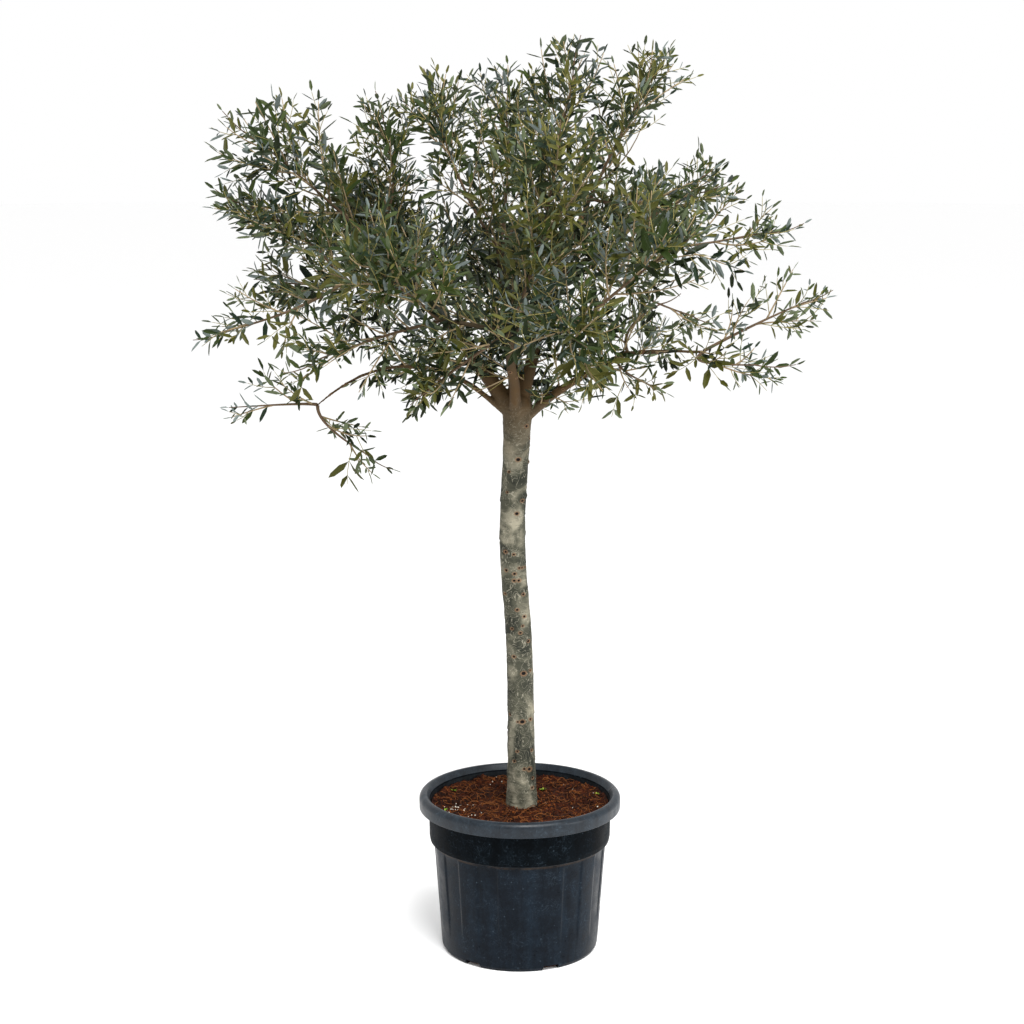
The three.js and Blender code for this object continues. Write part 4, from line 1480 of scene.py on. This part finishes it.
    def keep_inside(self, rows: np.ndarray) -> np.ndarray:
        """Drops the leaves whose tips would leave the crown's outline.

        Args:
            rows: The leaves, as leaves_on gives them.

        Returns:
            The leaves that stay.
        """
        tips = rows[:, :3] + rows[:, 3:6] * (rows[:, 9] * self.leaf.length)[:, None]
        in_heart = np.linalg.norm((tips - self.heart) / self.heart_reach, axis=1) < 1.06
        by_bough = np.min([np.linalg.norm(tips - point, axis=1) for point in self.bough_points], axis=0)
        inside = in_heart | (self.depths(tips).min(axis=0) < 1.0) | (by_bough < self.beside_bough)
        lowest, highest = np.array(MODEL_BOX) / MM
        inside &= np.all((tips > lowest - self.overhang) & (tips < highest + self.overhang), axis=1)
        return rows[inside & self.in_leaf(rows[:, :3]) & self.in_leaf(tips)]

    def leaf_mesh(self, name: str, rows: np.ndarray) -> bpy.types.Mesh:
        """Joins leaves into one mesh.

        Args:
            name: The mesh's name.
            rows: The leaves, as leaves_on gives them.

        Returns:
            The mesh, with a material slot for each tone of the upper sides and then of the undersides.
        """
        corners = self.leaf.corners()
        triangles, beneath = self.leaf.triangles()
        foot, direction, facing = rows[:, None, 0:3], rows[:, None, 3:6], rows[:, None, 6:9]
        width = np.cross(facing, direction)
        size, curl = rows[:, 9][:, None, None], rows[:, 10][:, None, None]
        half = 0.5 * self.leaf.width * size
        share, side, low = (corners[None, :, k : k + 1] for k in range(3))
        curled = curl * share**2 * self.leaf.length * size
        rise = np.abs(side) * half * self.leaf.keel + low * self.leaf.thickness + curled
        points = foot + direction * share * self.leaf.length * size + width * side * half + facing * rise
        offsets = np.arange(len(rows))[:, None, None] * len(corners)
        tone = rows[:, 11].astype(int)
        silver = len(self.upper_tones) + tone % len(self.under_tones)
        soup = Soup()
        kinds = np.where(beneath[None, :] == 1, silver[:, None], tone[:, None])
        soup.add(points.reshape(-1, 3) * MM, (triangles[None] + offsets).reshape(-1, 3), kinds.ravel())
        return soup.mesh(name, smooth=False)

    def build(self) -> None:
        """Grows every mass, then joins the twigs, and the leaves by region."""
        leaves = {region: [] for region in Region}
        masses = {region: [] for region in Region}
        twigs = Soup()
        grown = [(space.mass.name, self.grow_mass(own)) for own, space in enumerate(self.spaces)]
        grown += [(bough.name, self.grow_inner(bough, number)) for number, bough in enumerate(BOUGHS)]
        for number, (name, shoots) in enumerate(grown):
            draw = np.random.default_rng(104729 * (number + 1))
            region = Region.of(name)
            if number < len(self.spaces):
                masses[region].append(name)
            for shoot in shoots:
                leaves[region].append(self.leaves_on(shoot, draw))
                radii = np.linspace(*shoot.order.radii, len(shoot.path))
                points, faces = tube(shoot.path, radii, shoot.order.sides)
                twigs.add(points * MM, faces, list(Order).index(shoot.order))
        sides = (("upper", self.upper_tones, 0.48, 0.16), ("under", self.under_tones, 0.75, 0.1))
        materials = [  # a leathery green upper side with a faint shine, and a matt silvery underside
            PlainFinish(f"olive_leaf_{side}_{number}", tone, roughness, gloss).build()
            for side, tones, roughness, gloss in sides
            for number, tone in enumerate(tones)
        ]
        total = 0
        for region, rows in leaves.items():
            kept = self.keep_inside(np.vstack(rows))
            total += len(kept)
            name = f"leaves_{region.value}"
            finished(name, self.leaf_mesh(name, kept), materials, masses[region])
        log.info("leaves: %d", total)
        bark = [  # dull brown on the stems, paler and smoother towards the green tips
            PlainFinish("stem_bark", "#544433", 0.8),
            PlainFinish("twig_bark", "#87765a", 0.75),
            PlainFinish("green_shoot_bark", "#857b48", 0.65),
        ]
        finished("twigs", twigs.mesh("twigs"), [finish.build() for finish in bark], [])


# ---- Pot ----


@dataclass(frozen=True)
class ProfilePoint:
    """A corner of a turned profile in millimetres, with the radius that rounds it."""

    radius: float
    height: float
    rounding: float = 0.0


def rounded(profile: list[ProfilePoint], steps: int = 5) -> list[tuple[float, float]]:
    """Draws a profile with its corners rounded by arcs.

    Args:
        profile: The corners in order.
        steps: How many stretches an arc has.

    Returns:
        The points of the rounded profile.
    """
    points = []
    for before, corner, after in zip([profile[0], *profile], profile, [*profile[1:], profile[-1]]):
        here = np.array([corner.radius, corner.height])
        if corner.rounding == 0.0:
            points.append(tuple(here))
            continue
        back = unit(np.array([before.radius, before.height]) - here)
        ahead = unit(np.array([after.radius, after.height]) - here)
        half = 0.5 * math.acos(float(np.clip(back.dot(ahead), -1.0, 1.0)))
        reach = corner.rounding / math.tan(half)
        centre = here + unit(back + ahead) * corner.rounding / math.sin(half)
        first, last = here + back * reach - centre, here + ahead * reach - centre
        for step in range(steps + 1):
            spoke = unit(first * (steps - step) + last * step) * corner.rounding
            points.append(tuple(centre + spoke))
    return points


@dataclass
class NurseryPot:
    """The round container with its rolled lip, plain collar, fluted wall and slotted foot; millimetres."""

    rim_radius: float = 239.6
    height: float = 380.0
    mouth_radius: float = 219.0
    collar_radius: float = 216.5
    collar_bottom: float = 266.0
    wall_radius: float = 205.6
    foot_radius: float = 186.4
    lip_bottom: float = 345.0
    lip_wall: float = 3.0
    wall: float = 4.5
    columns: int = 288
    flutes: int = 24
    flute_depth: float = 2.4
    flute_fade: tuple[float, float] = (45.0, 110.0)
    notches: int = 6
    notch: tuple[float, float, float] = (30.0, 40.0, 11.5)  # depth, width and height
    notch_turn: float = -67.0
    notch_rounding: float = 3.5
    nub_place: tuple[float, float] = (4.0, 362.0)  # aside and up, on the front of the lip
    nub_size: tuple[float, float, float] = (3.4, 2.7, 2.4)  # radius at its foot and its end, and depth

    def profile(self) -> list[tuple[float, float]]:
        """Draws the pot's section, from the middle of its underside round the lip to the middle of its floor.

        Returns:
            Its corners as radius and height.
        """
        wall, lip = self.wall, self.lip_wall
        under_lip = self.height - 13.0
        corners = [
            ProfilePoint(0, 0),
            ProfilePoint(self.foot_radius - 5, 0, 2.5),
            ProfilePoint(self.foot_radius, 8, 3),
            *(
                ProfilePoint(self.wall_at(z), z)
                for z in (30, 45, 60, 78, 95, 110, 150, 200, 235, 250, 258)
            ),
            ProfilePoint(self.wall_radius, self.collar_bottom - 3, 2),
            ProfilePoint(self.collar_radius - 3, self.collar_bottom + 0.5, 2.5),
            ProfilePoint(self.collar_radius - 1, self.collar_bottom + 12, 12),
            ProfilePoint(self.collar_radius, self.lip_bottom),
            ProfilePoint(self.collar_radius + 1.0, under_lip, 5),
            ProfilePoint(self.rim_radius - lip - 1, under_lip - 3, 5),
            ProfilePoint(self.rim_radius - lip, self.lip_bottom, 0.8),
            ProfilePoint(self.rim_radius - 0.6, self.lip_bottom, 1.4),
            ProfilePoint(self.rim_radius, self.height - 1, 13),
            ProfilePoint(self.rim_radius - 17, self.height, 6),
            ProfilePoint(self.mouth_radius - 5, self.height - 15, 9),
            ProfilePoint(self.collar_radius - wall - 1, self.lip_bottom),
            ProfilePoint(self.collar_radius - wall - 2, self.collar_bottom + 6, 3),
            ProfilePoint(self.wall_radius - wall, self.collar_bottom - 6, 3),
            ProfilePoint(self.foot_radius - wall, 6, 3),
            ProfilePoint(0, 6),
        ]
        return rounded(corners)

    def wall_at(self, height: float) -> float:
        """The outer radius of the wall at a height below the collar."""
        return np.interp(height, [0, self.collar_bottom], [self.foot_radius, self.wall_radius])

    def flute(self, angle: float, height: float) -> float:
        """Sinks every second flute into the wall, fading to foot and collar.

        Args:
            angle: The direction round the pot in radians.
            height: The height.

        Returns:
            How far the wall is sunk there.
        """
        pitch = 2 * math.pi / self.flutes
        sunk = 0.5 + 0.5 * math.tanh(9.0 * math.sin(math.pi * angle / pitch))
        low, high = self.flute_fade
        fade = np.clip((height - low) / (high - low), 0.0, 1.0)
        top = np.clip((self.collar_bottom - 6 - height) / 8.0, 0.0, 1.0)
        return self.flute_depth * sunk * float(fade * fade * (3 - 2 * fade) * top)

    def shell(self) -> bpy.types.Mesh:
        """Turns the profile about the axis and presses the flutes into the wall.

        Returns:
            The mesh of the whole pot but its slots and nub.
        """
        bm = turned(self.profile(), self.columns)
        for vert in bm.verts:
            radius, height = math.hypot(vert.co.x, vert.co.y), vert.co.z / MM
            if radius < 1e-6:
                continue
            angle = math.atan2(vert.co.y, vert.co.x)
            angle -= 0.7 / self.flutes * math.sin(self.flutes * angle)  # crowds columns at the flutes' edges
            outside = radius / MM > self.wall_at(height) - 1.5
            if outside and 12 < height < self.collar_bottom - 5:
                radius -= self.flute(angle, height) * MM
            vert.co.x, vert.co.y = radius * math.cos(angle), radius * math.sin(angle)
        return mesh_of(bm, "pot_shell")

    def cutters(self) -> bpy.types.Mesh:
        """Makes the rounded blocks that cut the drainage slots out of the foot.

        Returns:
            The mesh of the blocks.
        """
        bm = bmesh.new()
        deep, wide, high = self.notch
        for number in range(self.notches):
            turn = Matrix.Rotation(math.radians(self.notch_turn + 360 / self.notches * number), 4, "Z")
            place = Matrix.Translation(((self.foot_radius - 0.5 * deep + 6) * MM, 0, 0))
            size = Matrix.Diagonal((deep * MM, wide * MM, 2 * high * MM, 1.0))
            block = bmesh.ops.create_cube(bm, size=1.0, matrix=turn @ place @ size)
            edges = list({edge for vert in block["verts"] for edge in vert.link_edges})
            offset = self.notch_rounding * MM
            rounding = {"segments": 3, "profile": 0.5, "material": -1, "clamp_overlap": True}
            bmesh.ops.bevel(bm, geom=edges, offset=offset, affect="EDGES", **rounding)
        return mesh_of(bm, "pot_cutters")

    def nub(self, bm: bmesh.types.BMesh) -> None:
        """Adds the moulding gate's stub on the front of the lip.

        Args:
            bm: The pot's mesh.
        """
        aside, height = self.nub_place
        forward = Matrix.Rotation(math.pi / 2, 4, "X")
        place = Matrix.Translation((aside * MM, -(self.rim_radius - 0.8) * MM, height * MM)) @ forward
        foot, end, depth = (size * MM for size in self.nub_size)
        size = {"radius1": foot, "radius2": end, "depth": depth}
        bmesh.ops.create_cone(bm, cap_ends=True, segments=20, matrix=place, **size)

    def build(self) -> None:
        """Makes the pot and dresses its lip, collar, wall and inside; the collar's plastic is painted darker
        for the shade under the lip.
        """
        shell, tool = placed("pot_shell", self.shell()), placed("pot_cutters", self.cutters())
        cut = shell.modifiers.new("slots", "BOOLEAN")
        cut.operation = "DIFFERENCE"
        cut.solver = "EXACT"
        cut.object = tool
        bm = applied(shell, tool)
        self.nub(bm)
        for face in bm.faces:
            middle = face.calc_center_median() / MM
            radius = math.hypot(middle.x, middle.y)
            outside = radius > self.wall_at(middle.z) - 3.2
            if middle.z > self.lip_bottom - 2 and radius > self.mouth_radius - 2.0:
                face.material_index = 0
            # the collar, under the lip, takes the copy of the plastic with painted shade
            elif middle.z > self.collar_bottom - 4 and radius > self.collar_radius - 3.0:
                face.material_index = 1
            else:
                face.material_index = 2 if outside and middle.z < self.collar_bottom - 2 else 3
        mesh = mesh_of(bm, "pot")
        mesh.set_sharp_from_angle(angle=math.radians(32))
        plastic = partial(MouldedPolypropylene, dusty=0.5)  # only the wall is dustier
        finishes = [
            plastic("polypropylene_lip", "#0f161d", "#28333c", roughness=0.34, gloss=0.25, scuff_mm=9.0),
            # the collar: the same plastic painted darker and nearly without gloss, for the shade under the
            # lip
            plastic("polypropylene_collar", "#05080b", "#0e161c", roughness=0.45, gloss=0.02, scuff_mm=8.0),
            plastic(
                "polypropylene_wall",
                "#0a1017",
                "#17232e",
                dusty=0.6,
                roughness=0.34,
                gloss=0.07,
                grime_height=self.collar_bottom - 5.0,
            ),
            plastic("polypropylene_inside", "#090d10", "#1d2226", dusty=0.35, roughness=0.55, gloss=0.15),
        ]
        finished("nursery_pot", mesh, [finish.build() for finish in finishes], ["pot"])


# ---- Compost ----


@dataclass
class Compost:
    """The compost in millimetres: a lumpy bed with loose crumbs, coir fibres, perlite and a little weed."""

    level: float = 350.0
    wall_radius: float = 210.5
    foot_radius: float = 182.0
    bottom: float = 6.6
    rings: int = 64
    columns: int = 300
    crumbs: int = 1500
    fibres: int = 800
    perlite: int = 70
    perlite_drift: tuple[float, float] = (-150.0, -40.0)  # where a third of it lies together
    weeds: tuple[tuple[int, int], ...] = ((58, 104), (-160, 84), (-176, -62), (186, 60), (-98, -150))
    fibre_steps: int = 11
    seed: int = 5

    def height_at(self, x: float, y: float) -> float:
        """Shapes the bed: clods, crumbs and a slight bank against the pot's wall.

        Args:
            x: How far the place is to the right.
            y: How far it is to the back.

        Returns:
            The height of the bed there.
        """
        place = np.array([x, y, 0.0]) * MM
        away = math.hypot(x, y)
        clods = 7.5 * value_noise(place, 27.0) + 4.5 * value_noise(place + 3.0, 13.0)
        grit = 1.3 * value_noise(place + 7.0, 5.0)
        bank = 7.0 * np.clip((away - 150.0) / 60.0, 0.0, 1.0) ** 2
        calm = np.clip((away - 24.0) / 26.0, 0.25, 1.0)
        return self.level + bank - 1.5 + calm * (clods + grit)

    def bed(self) -> bpy.types.Mesh:
        """Turns the fill's section about the axis and roughens its surface.

        Returns:
            The mesh of the bed.
        """
        top = [(self.wall_radius * share, self.level) for share in np.linspace(1.0, 0.0, self.rings)]
        step = [(self.wall_radius - 1, 274.0), (self.foot_radius + 17, 262.0)]
        line = [(0.0, self.bottom), (self.foot_radius - 2, self.bottom), *reversed(step), *top]
        bm = turned(line, self.columns)
        for vert in bm.verts:
            if vert.co.z > (self.level - 1) * MM:
                vert.co.z = self.height_at(vert.co.x / MM, vert.co.y / MM) * MM
        return mesh_of(bm, "compost_bed")

    def places(self, count: int, draw: np.random.Generator, inner: float = 30.0) -> np.ndarray:
        """Deals out places on the bed, evenly over its area.

        Args:
            count: How many.
            draw: The random draws.
            inner: How near to the trunk the first may be.

        Returns:
            The places as x and y, one a row.
        """
        radius = np.sqrt(draw.uniform(inner**2, (self.wall_radius - 4) ** 2, count))
        angle = draw.uniform(0, 2 * math.pi, count)
        return np.stack([radius * np.cos(angle), radius * np.sin(angle)], axis=1)

    def lumps(
        self, name: str, places: np.ndarray, sizes: np.ndarray, kinds: int, draw: np.random.Generator
    ) -> bpy.types.Mesh:
        """Scatters small crumpled lumps over the bed.

        Args:
            name: The mesh's name.
            places: Where they lie, as x and y.
            sizes: Their diameters.
            kinds: How many material slots they are dealt over.
            draw: The random draws.

        Returns:
            The joined mesh.
        """
        bm = bmesh.new()
        bmesh.ops.create_icosphere(bm, subdivisions=1, radius=0.5)
        base = np.array([vert.co[:] for vert in bm.verts])
        faces = np.array([[vert.index for vert in face.verts] for face in bm.faces])
        bm.free()
        soup = Soup()
        for (x, y), size in zip(places, sizes):
            crumple = 1.0 + 0.24 * draw.standard_normal((len(base), 1)).clip(-1.6, 1.6)
            shape = base * crumple * draw.uniform(0.6, 1.15, 3) * size
            centre = np.array([x, y, self.height_at(x, y) + 0.22 * size])
            soup.add((shape @ turned_at_random(draw) + centre) * MM, faces, int(draw.integers(kinds)))
        return soup.mesh(name)

    def fibre_mesh(self, draw: np.random.Generator) -> bpy.types.Mesh:
        """Lays curly coir fibres over the bed.

        Args:
            draw: The random draws.

        Returns:
            The joined mesh.
        """
        soup = Soup()
        for x, y in self.places(self.fibres, draw):
            length, curl = draw.uniform(18, 60), draw.uniform(-0.5, 0.5)
            steps = self.fibre_steps
            start = draw.uniform(0, 2 * math.pi)
            angle = start + np.cumsum(np.full(steps, curl) + draw.normal(0, 0.16, steps))
            line = np.stack([np.cos(angle), np.sin(angle)], axis=1).cumsum(axis=0) * length / steps + (x, y)
            line = line[np.hypot(line[:, 0], line[:, 1]) < self.wall_radius - 2]
            if len(line) < 4:
                continue
            arch = draw.uniform(0.4, 5.5) * np.sin(np.linspace(0.1, math.pi - 0.1, len(line)))
            heights = np.array([self.height_at(*point) for point in line])
            path = np.column_stack([line, np.maximum(heights, heights.mean() - 1.0) + 0.5 + arch])
            points, faces = tube(path, np.full(len(path), draw.uniform(0.35, 0.85)), 3)
            soup.add(points * MM, faces, int(draw.integers(2)))
        return soup.mesh("coir_fibres")

    def weed_mesh(self, draw: np.random.Generator) -> bpy.types.Mesh:
        """Grows small weed sprigs at the edge and behind the trunk: a few oval leaves each.

        Args:
            draw: The random draws.

        Returns:
            The joined mesh.
        """
        shape = LeafShape(length=10.0, width=5.5, thickness=0.5, keel=0.2)
        crown = Crown(Skeleton(), leaf=shape)
        rows = []
        for x, y in self.weeds:
            foot = np.array([x, y, self.height_at(x, y)])
            for leaf in range(int(draw.integers(4, 9))):
                side = across(UP, leaf * GOLDEN_ANGLE)
                direction = unit(side + UP * draw.uniform(0.3, 1.6))
                facing = unit(UP - direction * direction[2])
                rows.append([*(foot + side), *direction, *facing, draw.uniform(0.6, 1.2), -0.15, leaf % 2])
        return crown.leaf_mesh("weed_sprigs", np.array(rows))

    def build(self) -> None:
        """Makes the compost and what lies on it."""
        draw = np.random.default_rng(self.seed)
        finished("compost_bed", self.bed(), [CoirCompost().build()], ["potting_soil"])
        tints = {"dark": "#1c0b05", "red": "#431d0c", "tan": "#643618"}  # damp and without any shine
        coir = [PlainFinish(f"coir_crumb_{name}", tint, 0.95, gloss=0.1) for name, tint in tints.items()]
        sizes = draw.uniform(2.2, 7.5, self.crumbs) * draw.uniform(0.6, 1.0, self.crumbs)
        crumbs = self.lumps("compost_crumbs", self.places(self.crumbs, draw), sizes, 3, draw)
        finished("compost_crumbs", crumbs, [finish.build() for finish in coir], [])
        tints = {"tan": "#74441f", "brown": "#351808"}
        fibre = [PlainFinish(f"coir_fibre_{name}", tint, 0.8) for name, tint in tints.items()]
        finished("coir_fibres", self.fibre_mesh(draw), [finish.build() for finish in fibre], [])
        places = self.places(self.perlite, draw)
        left = np.array(self.perlite_drift) + draw.normal(0, 24, (len(places) // 3, 2))
        left = left[np.hypot(left[:, 0], left[:, 1]) < self.wall_radius - 6]
        places[: len(left)] = left
        perlite = self.lumps("perlite", places, draw.uniform(1.6, 4.6, len(places)), 1, draw)
        finished("perlite", perlite, [PlainFinish("expanded_perlite", "#ddd6c8", 0.9).build()], [])
        weed = [PlainFinish(f"weed_leaf_{n}", tone, 0.5) for n, tone in enumerate(("#7f9a2e", "#5f7a24") * 4)]
        finished("weed_sprigs", self.weed_mesh(draw), [finish.build() for finish in weed], [])


def turned_at_random(draw: np.random.Generator) -> np.ndarray:
    """A random rotation, as a 3 by 3 matrix."""
    return np.array(Quaternion(unit(draw.normal(size=4))).to_matrix())


# ---- Studio ----


@dataclass(frozen=True)
class SoftLight:
    """A square soft light in metres and watts: where it hangs, what it faces, its side and its power."""

    name: str
    place: Place
    aim: Place
    side: float
    power: float

    def build(self) -> None:
        """Hangs the light."""
        data = bpy.data.lights.new(self.name, "AREA")
        data.shape = "SQUARE"
        data.size = self.side
        data.energy = self.power
        lamp = placed(self.name, data)
        lamp.location = self.place
        lamp.rotation_euler = (Vector(self.aim) - Vector(self.place)).to_track_quat("-Z", "Y").to_euler()


@dataclass
class Studio:
    """A pale floor, an even sky, a soft light in front, a small one at the side, and the camera."""

    floor_radius: float = 40.0
    floor_colour: str = "#fefefe"
    sky_colour: str = "#ffffff"
    sky_strength: float = 1.0
    lights: tuple[SoftLight, ...] = (
        SoftLight("key_light", (0.9, -2.7, 5.0), (0.0, 0.0, 1.2), 2.5, 365.0),
        SoftLight("side_light", (3.2, -1.6, 1.4), (0.0, 0.0, 0.4), 0.4, 34.0),
    )
    lens: float = 75.0
    sensor_width: float = 36.0
    camera_place: Place = (-0.0186, -4.870, 1.989)
    camera_pitch: float = -10.8253

    def floor(self) -> None:
        """Lays the floor."""
        bm = bmesh.new()
        bmesh.ops.create_circle(bm, cap_ends=True, segments=96, radius=self.floor_radius)
        floor = placed("studio_floor", mesh_of(bm, "studio_floor", smooth=False))
        floor.data.materials.append(PlainFinish("painted_floor", self.floor_colour, 0.9).build())

    def build(self) -> None:
        """Sets up the floor, the sky, the lights and the camera."""
        scene = bpy.context.scene
        self.floor()
        world = bpy.data.worlds.new("studio_sky")
        world.use_nodes = True
        sky = world.node_tree.nodes["Background"]
        sky.inputs["Color"].default_value = srgb(self.sky_colour)
        sky.inputs["Strength"].default_value = self.sky_strength
        scene.world = world
        for light in self.lights:
            light.build()
        scene.view_settings.view_transform = "Standard"
        camera = bpy.data.cameras.new("camera")
        camera.lens = self.lens
        camera.sensor_width = self.sensor_width
        holder = placed("camera", camera)
        holder.location = self.camera_place
        holder.rotation_euler = (math.radians(90.0 + self.camera_pitch), 0.0, 0.0)
        scene.camera = holder


def main() -> None:
    """Builds and dresses every piece, then the studio round them."""
    logging.basicConfig(level=logging.INFO, format="%(name)s: %(message)s")
    skeleton = Skeleton()
    Studio().build()
    NurseryPot().build()
    Compost().build()
    Wood(skeleton).build()
    Crown(skeleton).build()


if __name__ == "__main__":
    main()
